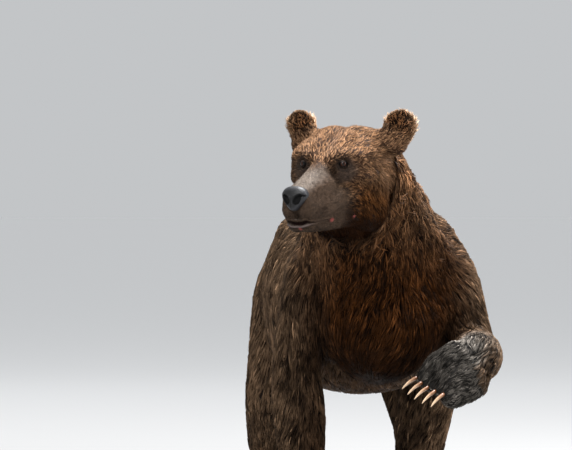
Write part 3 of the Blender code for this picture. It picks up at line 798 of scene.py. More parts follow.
def gathered(lines, leader, pull, shape):
    """Draws the ends of neighbouring lines together, as water does."""
    share = pull[:, None] * np.array(shape.along) ** 1.5
    return mixed(lines, lines[leader], share[..., None])


def tuft_mesh(name, lines, ups, width, shape):
    """Closed tufts of three sides and a point, round the given lines."""
    count = len(lines)
    ahead = unit(np.gradient(lines, axis=1))
    across = unit(np.cross(ahead, ups))
    rise = unit(np.cross(across, ahead))
    points = np.empty((count, shape.corners, 3))
    for ring, full in enumerate(shape.fullness):
        middle_of_ring = lines[:, ring]
        wide = across[:, ring] * (width * full / 2)[:, None]
        high = rise[:, ring] * (width * shape.thickness * full)[:, None]
        points[:, ring * 3] = middle_of_ring - wide - high * 0.3
        points[:, ring * 3 + 1] = middle_of_ring + wide - high * 0.3
        points[:, ring * 3 + 2] = middle_of_ring + high
    points[:, -1] = lines[:, -1]
    faces = [(0, 1, 2)]
    for ring in range(shape.rings - 1):
        a = ring * 3
        for left, right in ((0, 1), (1, 2), (2, 0)):
            faces.append((a + right, a + left, a + left + 3))
            faces.append((a + right, a + left + 3, a + right + 3))
    tip = shape.corners - 1
    for left, right in ((0, 1), (1, 2), (2, 0)):
        faces.append((tip - 3 + right, tip - 3 + left, tip))
    every = np.arange(count)[:, None, None] * shape.corners + np.array(faces)[None]
    return mesh_from(name, points.reshape(-1, 3), every.reshape(-1, 3))


PATCH = 0.003  # how wide a tuft's own patch is on its map


def unwrapped(points, owner, names):
    """A place on a flat map for each point: every solid has a strip, and is unrolled round its bone."""
    flat = np.zeros((len(points), 2))
    present = np.unique(owner)
    for strip, index in enumerate(present):
        here = owner == index
        start, end = bone_of(names[index])
        axis = unit(end - start)
        side_on = unit(np.cross(axis, (0.31, 0.22, 0.92)))
        other = np.cross(axis, side_on)
        away = points[here] - start
        turn = np.arctan2(away @ side_on, away @ other) / (2 * pi) + 0.5
        along = away @ axis
        along = (along - along.min()) / max(np.ptp(along), 1e-6)
        flat[here, 0] = (strip + 0.02 + 0.96 * turn) / len(present)
        flat[here, 1] = 0.01 + 0.98 * along
    return flat


def bone_of(name):
    """The two ends of the line that a solid of flesh lies along."""
    side = name.split("_")[0]
    ends = {
        "trunk": ("withers", "tail"),
        "neck": ("poll", "withers"),
        "head": ("nose", "poll"),
        "tail": ("tail", "tail tip"),
        "ear": (f"{side} ear", f"{side} ear tip"),
        "upper_arm": (f"{side} shoulder", f"{side} elbow"),
        "forearm": (f"{side} elbow", f"{side} wrist"),
        "forepaw": (f"{side} wrist", f"{side} fingers"),
        "thigh": (f"{side} hip", f"{side} knee"),
        "shank": (f"{side} knee", f"{side} ankle"),
        "hindpaw": (f"{side} ankle", f"{side} toes"),
    }[kind(name)]
    return np.array(JOINTS[ends[0]]), np.array(JOINTS[ends[1]])


def add_map(mesh, flat, shape):
    """The map OFBake: each tuft is a small patch at its root's place."""
    corner = np.empty(len(mesh.loops), np.int32)
    mesh.loops.foreach_get("vertex_index", corner)
    rings = [(x, along - 0.5) for along in shape.along[:-1] for x in (-0.5, 0.5, 0.0)]
    every = (flat[:, None, :] + np.array(rings + [(0.0, 0.5)])[None] * PATCH).reshape(-1, 2)
    layer = mesh.uv_layers.new(name="OFBake")
    layer.data.foreach_set("uv", every[corner].astype(np.float32).ravel())


WET_UP_TO = -0.655  # the lifted foreleg is soaked grey in front of this y

# ---- Markings: how much of each colour the coat has at a place, from 0 to 1. ----


# The neck is bent to the right, and on its outer side the locks stand up between these points, with pale tips there
# that are partly painted highlight.
MANE_EDGE = ((-0.03, -0.92, 1.385), (0.175, -0.37, 1.215), 0.034)


def near_line(points, start, end, reach):
    """How near points are to the line between two places: 1 on it and 0 out of reach."""
    start, run = np.array(start), np.array(end) - np.array(start)
    share = np.clip((points - start) @ run / (run @ run), 0.0, 1.0)
    away = np.linalg.norm(points - start - share[:, None] * run, axis=1)
    return smooth_step(reach, reach * 0.3, away)


def markings(skin, node, inside_ear, ear_rim):
    p = in_head(skin.points)
    x, y, z = p.T
    up = skin.normals @ np.array(HEAD.to_3x3())[:, 2]
    on = {name: (node == index).astype(float) for index, name in enumerate(FLESH)}
    head = skin.eased(on["head"], 12)
    ears = skin.eased(on["left_ear"] + on["right_ear"], 3)
    paws = skin.eased(sum(on[f"{side}_{part}"] for side in SIDES for part in ("forepaw", "hindpaw")), 25)
    wet = on["left_forepaw"] + on["left_forearm"] * smooth_step(WET_UP_TO + 0.07, WET_UP_TO, skin.points[:, 1])
    outer = smooth_step(0.30, 0.75, skin.normals[:, 0]) * on["left_forearm"]
    wet = skin.eased(wet * (1.0 - outer), 12)
    legs = sum(on[f"{side}_{part}"] for side in SIDES for part in ("forearm", "shank", "forepaw", "hindpaw"))
    legs = skin.eased(legs, 60)
    muzzle = smooth_step(0.000, -0.060, y) * smooth_step(0.008, -0.028, z) * head
    bridge = smooth_step(0.15, 0.75, up) * smooth_step(0.055, 0.026, np.abs(x)) * smooth_step(0.016, -0.026, z)
    bridge = bridge * smooth_step(0.004, -0.056, y) * head
    patch = np.zeros(len(p))
    for side, sign in SIDES.items():
        centre = EYES[side] + (0.004 * sign, 0.0, -0.022)
        away = (p - centre) / (0.052, 0.085, 0.056)
        patch = np.maximum(patch, 1.0 - smooth_step(0.45, 1.0, np.linalg.norm(away, axis=1)))
    dip = 0.085 * smooth_step(0.055, 0.010, np.abs(x)) + 0.080 * smooth_step(0.085, 0.125, np.abs(x))
    crown = smooth_step(-0.045, 0.050, z + 0.20 * (y - 0.05) + dip) * head
    # Between the brows the coat is painted darker, as shade in the furrow.
    furrow_shade = ridge(x, 0.000, 0.034) * smooth_step(0.040, 0.075, z) * smooth_step(0.150, 0.100, z) * head
    cheek = smooth_step(0.05, -0.02, z) * smooth_step(-0.20, -0.11, z) * smooth_step(-0.05, 0.03, y) * head
    jaw = smooth_step(-0.09, -0.17, z) * head
    front = smooth_step(-0.20, -0.42, skin.points[:, 1]) * (1.0 - head)
    breast = front * smooth_step(1.25, 1.00, skin.points[:, 2]) * smooth_step(0.34, 0.16, np.abs(skin.points[:, 0]))
    # Surfaces that face down on the trunk and neck take some of the breast's darker colours: partly the belly's own
    # darker fur, partly painted shade underneath.
    belly_and_shade_below = smooth_step(-0.1, -0.6, skin.normals[:, 2]) * (on["trunk"] + on["neck"])
    mane = skin.eased(on["neck"], 25)
    # Along the neck's outer edge the raised locks get pale tips, partly painted highlight.
    edge = near_line(skin.points, *MANE_EDGE) * skin.eased(on["neck"], 4)
    marks = {
        "mane": mane,
        "legs": legs,
        "breast": np.maximum(breast, 0.35 * skin.eased(belly_and_shade_below, 20)),
        "soaked": breast * smooth_step(0.90, 0.62, skin.points[:, 2]),
        "jaw": jaw,
        "cheek": cheek,
        "crown": crown,
        "furrow_shade": 0.70 * furrow_shade,
        "muzzle": muzzle,
        "bridge": bridge,
        "patch": patch * head,
        "wet_paw": np.maximum(wet, 0.55 * paws),
        "ears": ears * 0.6,
        "in_ear": inside_ear,
        "ear_rim": ear_rim,
        "mane_edge_highlight": edge,
    }
    return {name: np.clip(values, 0.0, 1.0) for name, values in marks.items()}


# ---- Materials. ----


class Nodes:
    """A material's node tree, built one node after another."""

    def __init__(self, name):
        self.material = bpy.data.materials.new(name)
        self.material.use_nodes = True
        self.tree = self.material.node_tree
        self.shader = self.tree.nodes["Principled BSDF"]

    def add(self, kind_of_node, **settings):
        node = self.tree.nodes.new(kind_of_node)
        for key, value in settings.items():
            setattr(node, key, value)
        return node

    def link(self, source, target):
        self.tree.links.new(source, target)

    def value(self, name):
        return self.add("ShaderNodeAttribute", attribute_name=name).outputs["Fac"]

    def math(self, operation, a, b=0.0, clamp=False):
        node = self.add("ShaderNodeMath", operation=operation, use_clamp=clamp)
        for socket, given in zip(node.inputs, (a, b)):
            if isinstance(given, (int, float)):
                socket.default_value = given
            else:
                self.link(given, socket)
        return node.outputs[0]

    def span(self, value, low, high, to_low=0.0, to_high=1.0):
        node = self.add("ShaderNodeMapRange", interpolation_type="SMOOTHSTEP")
        self.link(value, node.inputs["Value"])
        for socket, given in zip(("From Min", "From Max", "To Min", "To Max"), (low, high, to_low, to_high)):
            node.inputs[socket].default_value = given
        return node.outputs["Result"]

    def mix(self, share, a, b):
        node = self.add("ShaderNodeMix", data_type="RGBA")
        for socket, given in ((node.inputs["Factor"], share), (node.inputs["A"], a), (node.inputs["B"], b)):
            pass
        sockets = (node.inputs[0], node.inputs[6], node.inputs[7])
        for socket, given in zip(sockets, (share, a, b)):
            if isinstance(given, (int, float)):
                socket.default_value = given
            elif isinstance(given, (list, tuple)):
                socket.default_value = given
            else:
                self.link(given, socket)
        return node.outputs[2]

    def place(self, stretch=(1.0, 1.0, 1.0), frame_of=None):
        """Object coordinates, turned into a frame if one is given, and stretched."""
        out = self.add("ShaderNodeTexCoord").outputs["Object"]
        if frame_of is not None:
            turn = self.add("ShaderNodeMapping", vector_type="POINT")
            inverse = frame_of.inverted()
            turn.inputs["Location"].default_value = inverse.to_translation()
            turn.inputs["Rotation"].default_value = inverse.to_euler()
            self.link(out, turn.inputs["Vector"])
            out = turn.outputs["Vector"]
        scale = self.add("ShaderNodeMapping", vector_type="POINT")
        scale.inputs["Scale"].default_value = stretch
        self.link(out, scale.inputs["Vector"])
        return scale.outputs["Vector"]

    def noise(self, vector, scale=1.0, detail=3.0, rough=0.55):
        node = self.add("ShaderNodeTexNoise")
        node.inputs["Scale"].default_value = scale
        node.inputs["Detail"].default_value = detail
        node.inputs["Roughness"].default_value = rough
        self.link(vector, node.inputs["Vector"])
        return node.outputs["Fac"]

    def bump(self, height, strength, distance):
        node = self.add("ShaderNodeBump")
        node.inputs["Strength"].default_value = strength
        node.inputs["Distance"].default_value = distance
        self.link(height, node.inputs["Height"])
        self.link(node.outputs["Normal"], self.shader.inputs["Normal"])


# For each marking, in the order that they are laid on: the colours of its roots and its tips.
MARKED = {
    "mane": ("deep russet", "mane tip"),
    "legs": ("deep umber", "umber tip"),
    "breast": ("deep russet", "russet"),
    "soaked": ("ear root", "soaked tip"),
    "jaw": ("deep russet", "jaw tip"),
    "cheek": ("deep russet", "russet tip"),
    "crown": ("crown root", "fawn"),
    "furrow_shade": ("deep umber", "furrow tip"),
    "muzzle": ("muzzle root", "muzzle tip"),
    "bridge": ("taupe root", "taupe"),
    "patch": ("patch root", "patch tip"),
    "wet_paw": ("slate root", "slate"),
    "ears": ("ear root", "ear tip"),
    "in_ear": ("ear root", "ear tip"),
    "ear_rim": ("straw root", "straw"),
    "mane_edge_highlight": ("mane root", "mane highlight"),
}


def marked_colour(nodes, shade):
    """The coat's colour from its markings, with painted highlights on its lightest strands, the same on the skin
    and on the tufts.

    shade runs from 0, a dark root that is partly painted shade, to 1, a light tip.
    """
    blotch = nodes.noise(nodes.place(), scale=7.0, detail=4.0)
    raw = nodes.math("ADD", shade, nodes.math("MULTIPLY", nodes.math("SUBTRACT", blotch, 0.5), 0.35))
    light = nodes.span(raw, 0.20, 0.92)
    colour = nodes.mix(light, linear("deep umber"), linear("umber tip"))
    for mark, (root, tip) in MARKED.items():
        marked = nodes.mix(light, linear(root), linear(tip))
        colour = nodes.mix(nodes.value(mark), colour, marked)
    # Painted highlights: the lightest strands are made up to twice as bright, as wet hair that catches the light.
    painted_shine = nodes.add("ShaderNodeVectorMath", operation="SCALE")
    nodes.link(colour, painted_shine.inputs[0])
    nodes.link(nodes.span(raw, 0.66, 1.20, 1.0, 2.0), painted_shine.inputs["Scale"])
    return painted_shine.outputs[0]


def coat_material():
    nodes = Nodes("wet fur")
    tone, along = nodes.value("tone"), nodes.value("along")
    strands = nodes.add("ShaderNodeCombineXYZ")
    nodes.link(nodes.math("MULTIPLY", nodes.value("across"), 2.4), strands.inputs["X"])
    nodes.link(nodes.math("MULTIPLY", along, 1.3), strands.inputs["Y"])
    nodes.link(nodes.math("MULTIPLY", tone, 83.0), strands.inputs["Z"])
    strand = nodes.noise(strands.outputs[0], scale=1.6, detail=2.0)
    # Darker towards the root: partly the hair's own colour, partly painted shade under the tufts that lie over it.
    shade = nodes.math("ADD", nodes.math("MULTIPLY", along, 0.40), nodes.math("MULTIPLY", tone, 1.0))
    shade = nodes.math("SUBTRACT", shade, 0.20)
    shade = nodes.math("ADD", shade, nodes.math("MULTIPLY", nodes.math("SUBTRACT", strand, 0.5), 0.5))
    nodes.link(marked_colour(nodes, shade), nodes.shader.inputs["Base Color"])
    nodes.bump(strand, 0.6, 0.0012)
    nodes.shader.inputs["Roughness"].default_value = 0.50
    nodes.shader.inputs["Specular IOR Level"].default_value = 0.05
    return nodes.material


def skin_material():
    nodes = Nodes("short fur over skin")
    streaks = nodes.noise(nodes.place((420.0, 95.0, 420.0), HEAD), detail=3.0, rough=0.6)
    down = nodes.noise(nodes.place((300.0, 300.0, 45.0)), detail=3.0, rough=0.6)
    hairs = nodes.add("ShaderNodeMix", data_type="FLOAT")
    nodes.link(nodes.value("on_head"), hairs.inputs[0])
    nodes.link(down, hairs.inputs[2])
    nodes.link(streaks, hairs.inputs[3])
    hair = hairs.outputs[0]
    short = nodes.math("MAXIMUM", nodes.value("bridge"), nodes.value("muzzle"))
    # Under the long coat the skin takes the roots' dark colours, as painted shade in the gaps between the tufts; on
    # the muzzle and bridge it stays light.
    shade = nodes.math("MULTIPLY", hair, nodes.span(short, 0.0, 1.0, 0.30, 1.10))
    colour = marked_colour(nodes, shade)
    colour = nodes.mix(nodes.value("pad"), colour, linear("leather"))
    colour = nodes.mix(nodes.value("lid"), colour, linear("dark leather"))
    colour = nodes.mix(nodes.value("lip_edge"), colour, linear("lip edge"))
    colour = nodes.mix(nodes.value("lip"), colour, linear("lip"))
    # Painted shade in the gape between the lips.
    colour = nodes.mix(nodes.value("gape"), colour, linear("gape"))
    nodes.link(colour, nodes.shader.inputs["Base Color"])
    wet = nodes.math("MAXIMUM", nodes.value("lid"), nodes.value("lip"))
    nodes.link(nodes.span(wet, 0.0, 1.0, 0.60, 0.32), nodes.shader.inputs["Roughness"])
    nodes.shader.inputs["Specular IOR Level"].default_value = 0.08
    nodes.bump(hair, 0.8, 0.0014)
    return nodes.material


# ---- The coat. ----

# Each piece of the coat is named after what it covers.
COAT_PIECES = {
    "head_coat": ("head",),
    "ears_coat": ("left_ear", "right_ear"),
    "neck_coat": ("neck",),
    "body_coat": ("trunk",),
    "left_foreleg_coat": ("left_upper_arm", "left_forearm", "left_forepaw"),
    "right_foreleg_coat": ("right_upper_arm", "right_forearm", "right_forepaw"),
    "left_hindleg_coat": ("left_thigh", "left_shank", "left_hindpaw"),
    "right_hindleg_coat": ("right_thigh", "right_shank", "right_hindpaw"),
    "tail_coat": ("tail",),
}
SHORT_FURRED = ("head", "ear", "forepaw", "hindpaw")
PIECE_TRIANGLES = 190000  # at most, in one piece


def over_claws(skin):
    """How near each vertex is to the root of a claw."""
    near = np.zeros(len(skin.points))
    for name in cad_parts:
        if "claw" not in name:
            continue
        side, paw = name.split("_")[:2]
        end = np.array(JOINTS[f"{side} wrist" if paw == "forepaw" else f"{side} ankle"])
        points = node_points(name)
        root = points[np.linalg.norm(points - end, axis=1).argmin()]
        near = np.maximum(near, smooth_step(0.040, 0.018, np.linalg.norm(skin.points - root, axis=1)))
    return near


def coat_sizes(skin, node, inside_ear, ear_rim):
    """Depth, length, width, spacing and lift at each vertex, eased from part to part."""
    table = np.array([COAT[kind(name)] for name in FLESH])
    sizes = skin.eased(table[node], 14)
    p = in_head(skin.points)
    x, y, z = p.T
    head = skin.eased((node == FLESH.index("head")).astype(float), 8)
    muzzle = smooth_step(0.02, -0.06, y) * head
    around_eyes = np.zeros(len(p))
    for side in SIDES:
        away = np.linalg.norm((p - EYES[side]) / (1.0, 1.0, 0.8), axis=1)
        around_eyes = np.maximum(around_eyes, smooth_step(0.052, 0.020, away))
    short = np.maximum(muzzle, around_eyes)
    sizes[:, DEPTH] *= 1.0 - 0.60 * short
    sizes[:, LENGTH] *= 1.0 - 0.62 * short
    sizes[:, WIDTH] *= 1.0 - 0.45 * short
    sizes[:, LIFT] *= 1.0 - 0.70 * short
    ruff = smooth_step(0.01, 0.11, y) * smooth_step(0.03, -0.04, z) * head
    edge = near_line(skin.points, *MANE_EDGE) * skin.eased((node == FLESH.index("neck")).astype(float), 4)
    sizes[:, LENGTH] *= 1.0 + 1.1 * ruff + 2.6 * ear_rim + 0.4 * inside_ear
    sizes[:, LENGTH] *= 1.0 + 0.8 * over_claws(skin)
    sizes[:, WIDTH] *= 1.0 + 0.5 * ruff + 0.3 * ear_rim + 0.3 * inside_ear
    sizes[:, DEPTH] *= 1.0 + 0.7 * ruff
    sizes[:, LIFT] *= 1.0 + 1.2 * ruff + 8.0 * ear_rim + 0.7 * edge
    return sizes


# Wet hair gathers into wide clumps of narrow ones. How far apart they are, as a multiple of
# the tufts' spacing, how strongly each draws its tufts in, and how much it sets their tone.
CLUMP_REACH = (5.2, 2.4)
CLUMP_PULL = (0.25, 0.72)
CLUMP_TONE = (0.36, 0.40)
BRISTLES = 0.02  # the share of the muzzle's tufts that stand out of it
# Glints are painted highlights: a share of the tufts is painted lighter than any other, as wet strands.
GLINTS = 0.03  # the share of the tufts that catch the light


def wandering(skin, passes, rng):
    """A value that drifts over the skin, with a mean of 0 and a spread of 1."""
    values = skin.eased(rng.normal(size=len(skin.points)), passes)
    return (values - values.mean()) / values.std()


def grow_coat(skin, node, lie, sizes, marks, bare, material):
    """Short fur on the head, ears and feet, curled locks on the neck, and long locks elsewhere."""
    rng = np.random.default_rng(SEED)
    guide = Guide(skin, lie)
    drift = {"turn": wandering(skin, 60, rng), "tone": wandering(skin, 24, rng)}
    short = np.isin(node, [i for i, name in enumerate(FLESH) if kind(name) in SHORT_FURRED])
    neck = node == FLESH.index("neck")
    for shape, here in ((SHORT, short), (CURLED, neck), (LONG, ~short & ~neck)):
        grow_tufts(skin, node, guide, sizes, marks, drift, here, bare, shape, material, rng)


def grow_tufts(skin, node, guide, sizes, marks, drift, chosen, bare, shape, material, rng):
    tufts = Tufts(skin, sizes[:, SPACING], chosen, bare, rng)
    owner = node[tufts.corner_ids[:, 0]]
    size = tufts.of(sizes)
    count = len(size)
    marks = {name: np.clip(tufts.of(values), 0, 1) for name, values in marks.items()}
    curl = 0.14 + 0.16 * marks["crown"] + 0.34 * (owner == FLESH.index("neck")) + 0.35 * marks["in_ear"]
    clumps = [leaders(tufts.roots, size[:, SPACING] * reach, rng) for reach in CLUMP_REACH]
    own, wide, narrow = rng.normal(0.0, 1.0, (3, count))
    turn = 0.45 * own + 0.9 * wide[clumps[0][0]] + 0.8 * narrow[clumps[1][0]]
    turn = turn * curl * (1.0 - 0.65 * marks["breast"]) + 0.20 * tufts.of(drift["turn"])
    length = size[:, LENGTH] * rng.uniform(0.70, 1.25, count)
    stray = rng.random(count) < BRISTLES * marks["muzzle"]
    length *= 1.0 + 1.5 * stray
    lines, ups = guide.walk(tufts.roots, turn, length, shape)
    high = size[:, LIFT] * rng.uniform(0.6, 1.3, count) * (1.0 + 4.0 * stray)
    lines = lines + ups * (np.array(shape.rise)[None] * high[:, None])[..., None]
    flat = 1.0 - 0.6 * np.maximum(np.maximum(marks["muzzle"], marks["bridge"]), marks["patch"])
    tone = 0.22 * rng.random(count)
    for (leader, away), pull, share in zip(clumps, CLUMP_PULL, CLUMP_TONE):
        lines = gathered(lines, leader, pull * flat, shape)
        arch = np.sin(np.array(shape.along) * pi * 0.85)
        lines += ups * (arch[None] * (0.22 * high * flat * (1.0 - away))[:, None])[..., None]
        tone += share * rng.random(count)[leader]
    calm = 0.36 - 0.61 * marks["mane"] + 0.10 * marks["crown"] + 0.45 * marks["patch"]
    calm -= 0.55 * marks["in_ear"] + 0.25 * marks["wet_paw"] + 0.20 * marks["cheek"]
    tone = 0.5 + (tone + 0.08 * tufts.of(drift["tone"]) - 0.5) * (1.0 - calm)
    # The tufts in the ears' cups are darker: partly their own colour, partly painted shade in the hollow.
    tone = np.clip(tone - 0.36 * marks["in_ear"], 0.0, 1.0)
    # Painted highlights: a few tufts, more on the mane, crown, cheeks and in the ears, are made lighter than all
    # others.
    lively = np.maximum.reduce([marks["mane"], marks["crown"], marks["cheek"], marks["in_ear"]])
    glints = rng.random(count) < GLINTS * (0.4 + 2.4 * lively + 2.0 * marks["in_ear"] + 1.5 * marks["mane"]) * (1.0 - 0.9 * marks["patch"])
    tone = np.where(glints, 1.02 + 0.13 * lively, tone)
    lines[..., 2] = np.maximum(lines[..., 2], 0.004)
    width = size[:, WIDTH] * rng.uniform(0.75, 1.25, count)
    for piece, names in COAT_PIECES.items():
        mine = np.flatnonzero(np.isin(owner, [FLESH.index(name) for name in names]))
        if not len(mine):
            continue
        piece = piece.replace("leg", "paw") if shape is SHORT else piece
        parts = -(-len(mine) * (6 * shape.rings - 2) // PIECE_TRIANGLES)
        order = mine[np.argsort(tufts.roots[mine, 1], kind="stable")]
        for number, group in enumerate(np.array_split(order, parts)):
            name = piece if parts == 1 else f"{piece}_{number + 1}"
            mesh = tuft_mesh(name, lines[group], ups[group], width[group], shape)
            add_values(mesh, "tone", np.repeat(tone[group], shape.corners))
            along = np.append(np.repeat(shape.along[:-1], 3), 1.0)
            add_values(mesh, "along", np.tile(along, len(group)))
            across = np.append(np.tile((-1.0, 1.0, 0.0), shape.rings), 0.0)
            add_values(mesh, "across", np.tile(across, len(group)))
            for mark, values in marks.items():
                add_values(mesh, mark, np.repeat(values[group], shape.corners))
            add_map(mesh, unwrapped(tufts.roots[group], owner[group], FLESH), shape)
            obj = new_object(name, mesh)
            mesh.materials.append(material)
            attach(obj, "root")
            print("PIECE", name, len(group), len(mesh.polygons))


# ---- Nose, eyes and claws. ----


NOSE_PLACE = np.array((0.0, -0.196, -0.091))  # in the head's frame
NOSE_HALF = np.array((0.0515, 0.026, 0.042))
NOSE_TILT = 14.0  # its top leans back
NOSTRIL = (0.0215, -0.004)  # across and up from the pad's middle
NOSTRIL_DEPTH = 0.015


def rounded(values, power):
    return np.sign(values) * np.abs(values) ** power


def make_nose():
    """The pad of bare leather: pebbled, wide at its top, with a deep comma for each nostril."""
    edit = bmesh.new()
    bmesh.ops.create_icosphere(edit, subdivisions=6, radius=1.0)
    mesh = bpy.data.meshes.new("nose_pad")
    edit.to_mesh(mesh)
    edit.free()
    ball = coordinates(mesh)
    x, y, z = (rounded(ball, 0.80) * NOSE_HALF).T
    x = x * (1.0 - 0.54 * smooth_step(0.014, -0.040, z))
    front = smooth_step(0.30, 0.75, -ball[:, 1])
    y = y + 0.10 * (x**2) / NOSE_HALF[0]
    wide = np.abs(x)
    # Each nostril leans outward, and is widest at its lower end.
    upward = (wide - NOSTRIL[0]) * 0.62 + (z - NOSTRIL[1]) * 0.78
    sideways = (wide - NOSTRIL[0]) * 0.78 - (z - NOSTRIL[1]) * 0.62
    round_hole = np.hypot(sideways / (0.0128 - 0.16 * upward), upward / 0.0225)
    hole = smooth_step(1.0, 0.76, round_hole)
    slit_height = NOSTRIL[1] + 0.010 + 0.10 * (wide - NOSTRIL[0])
    slit = ridge(z, slit_height, 0.0030) * smooth_step(0.022, 0.030, wide) * smooth_step(0.051, 0.042, wide)
    hole = np.maximum(hole, 0.75 * slit * smooth_step(0.0, 0.3, -ball[:, 1])) * smooth_step(0.05, 0.30, -ball[:, 1])
    groove = ridge(x, 0.0, 0.0016) * smooth_step(0.000, -0.010, z) * front
    rim = ridge(round_hole, 1.22, 0.22) * front
    y = y + NOSTRIL_DEPTH * hole + 0.0016 * groove - 0.0006 * rim
    turn = np.array(Matrix.Rotation(radians(-NOSE_TILT), 3, "X"))
    local = np.stack([x, y, z], axis=1) @ turn.T + NOSE_PLACE
    place_vertices(mesh, local @ np.array(HEAD.to_3x3()).T + np.array(HEAD.translation))
    # Painted shade: the nostrils are painted near black as shade in the holes, the groove down the pad is darkened,
    # and the front of the pad below its top is painted dark.
    add_values(mesh, "hole", np.maximum(hole, 0.5 * groove))
    add_values(mesh, "shaded", smooth_step(0.40, 0.85, -ball[:, 1]) * smooth_step(0.75, 0.45, ball[:, 2]))
    mesh.shade_smooth()
    nodes = Nodes("nose leather")
    grain = nodes.add("ShaderNodeTexVoronoi", feature="DISTANCE_TO_EDGE")
    grain.inputs["Scale"].default_value = 420.0
    nodes.link(nodes.place(), grain.inputs["Vector"])
    colour = nodes.mix(nodes.noise(nodes.place(), scale=70.0), linear("leather"), linear("dark leather"))
    # Painted shade on the pad's front and in the nostrils.
    colour = nodes.mix(nodes.value("shaded"), colour, linear("dark leather"))
    colour = nodes.mix(nodes.value("hole"), colour, linear("pupil"))
    nodes.link(colour, nodes.shader.inputs["Base Color"])
    nodes.bump(nodes.span(grain.outputs["Distance"], 0.0, 0.3), 0.35, 0.0006)
    nodes.link(nodes.span(nodes.value("hole"), 0.0, 0.6, 0.38, 0.95), nodes.shader.inputs["Roughness"])
    nodes.shader.inputs["Specular IOR Level"].default_value = 0.35
    obj = new_object("nose_pad", mesh)
    mesh.materials.append(nodes.material)
    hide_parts("nose")
    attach(obj, "root")


def make_eye(side):
    """A ball with a brown iris and a round pupil."""
    mesh = bpy.data.meshes.new(f"{side}_eyeball")
    edit = bmesh.new()
    bmesh.ops.create_uvsphere(edit, u_segments=48, v_segments=32, radius=EYE_RADIUS)
    edit.to_mesh(mesh)
    edit.free()
    points = coordinates(mesh)
    gaze, outer, up = eye_axes(side)
    turn = np.array(HEAD.to_3x3()) @ np.stack([outer, up, gaze], axis=1)
    flat = np.hypot(points[:, 0], points[:, 1])
    front = points[:, 2] > 0
    iris = np.where(front, smooth_step(0.0094, 0.0084, flat), 0.0)
    pupil = np.where(front, smooth_step(0.0044, 0.0036, flat), 0.0)
    place_vertices(mesh, points @ turn.T + np.array(middle(f"{side}_eye")))
    add_values(mesh, "iris", iris)
    add_values(mesh, "pupil", pupil)
    mesh.shade_smooth()
    nodes = Nodes(f"{side} eye")
    fibres = nodes.noise(nodes.place(), scale=900.0, detail=2.0)
    brown = nodes.mix(fibres, linear("iris"), linear("deep umber"))
    colour = nodes.mix(nodes.value("iris"), linear("dark leather"), brown)
    nodes.link(nodes.mix(nodes.value("pupil"), colour, linear("pupil")), nodes.shader.inputs["Base Color"])
    nodes.shader.inputs["Roughness"].default_value = 0.15
    nodes.shader.inputs["Specular IOR Level"].default_value = 0.15
    nodes.shader.inputs["Coat Weight"].default_value = 0.15
    nodes.shader.inputs["Coat Roughness"].default_value = 0.05
    obj = new_object(f"{side}_eyeball", mesh)
    mesh.materials.append(nodes.material)
    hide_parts(f"{side}_eye")
    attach(obj, "root")


def horn_material():
    """Horn, dark and orange at the root, pale at the tip, with painted shade on its underside."""
    nodes = Nodes("claw horn")
    grain = nodes.noise(nodes.place(), scale=90.0, detail=2.0)
    share = nodes.math("MULTIPLY", nodes.math("SUBTRACT", grain, 0.5), 0.5)
    share = nodes.span(nodes.math("ADD", nodes.value("along"), share), 0.0, 0.9)
    colour = nodes.mix(share, linear("dark horn"), linear("pale horn"))
    # Painted shade on the claw's underside.
    colour = nodes.mix(nodes.value("under"), colour, linear("shaded horn"))
    nodes.link(colour, nodes.shader.inputs["Base Color"])
    nodes.shader.inputs["Roughness"].default_value = 0.30
    nodes.shader.inputs["Specular IOR Level"].default_value = 0.45
    return nodes.material


def weld(mesh):
    """Joins the triangles of a mesh at the corners that they share."""
    edit = bmesh.new()
    edit.from_mesh(mesh)
    bmesh.ops.remove_doubles(edit, verts=edit.verts[:], dist=0.00002)
    bmesh.ops.recalc_face_normals(edit, faces=edit.faces[:])
    edit.to_mesh(mesh)
    edit.free()


def make_claw(name, material):
    """The claw's own solid, made smooth."""
    paw = "_".join(name.split("_")[:2])
    start = grown_copy([name], f"{name} smooth", 0.0)
    weld(start.data)
    smooth = start.modifiers.new("smooth", "SUBSURF")
    smooth.levels = 2
    obj = applied(start, f"{name}_horn")
    claw = Surface(obj)
    side = paw.split("_")[0]
    wrist = np.array(JOINTS[f"{side} wrist" if "fore" in paw else f"{side} ankle"])
    away = np.linalg.norm(claw.points - wrist, axis=1)
    centre = claw.points.mean(axis=0)
    row = unit(np.array(middle(f"{paw}_claw_5") - middle(f"{paw}_claw_1")))
    ahead = unit(centre - wrist)
    below = np.cross(row, ahead)
    below = below if (below @ (centre - claw.points[away.argmax()])) < 0 else -below
    facing = claw.normals @ below
    add_values(obj.data, "along", (away - away.min()) / np.ptp(away))
    # The side that faces down is painted darker, as shade under the claw.
    add_values(obj.data, "under", smooth_step(0.55, 0.95, facing))
    obj.data.materials.append(material)
    obj.data.shade_smooth()
    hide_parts(name)
    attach(obj, "root")


# ---- Stage, light and camera. ----


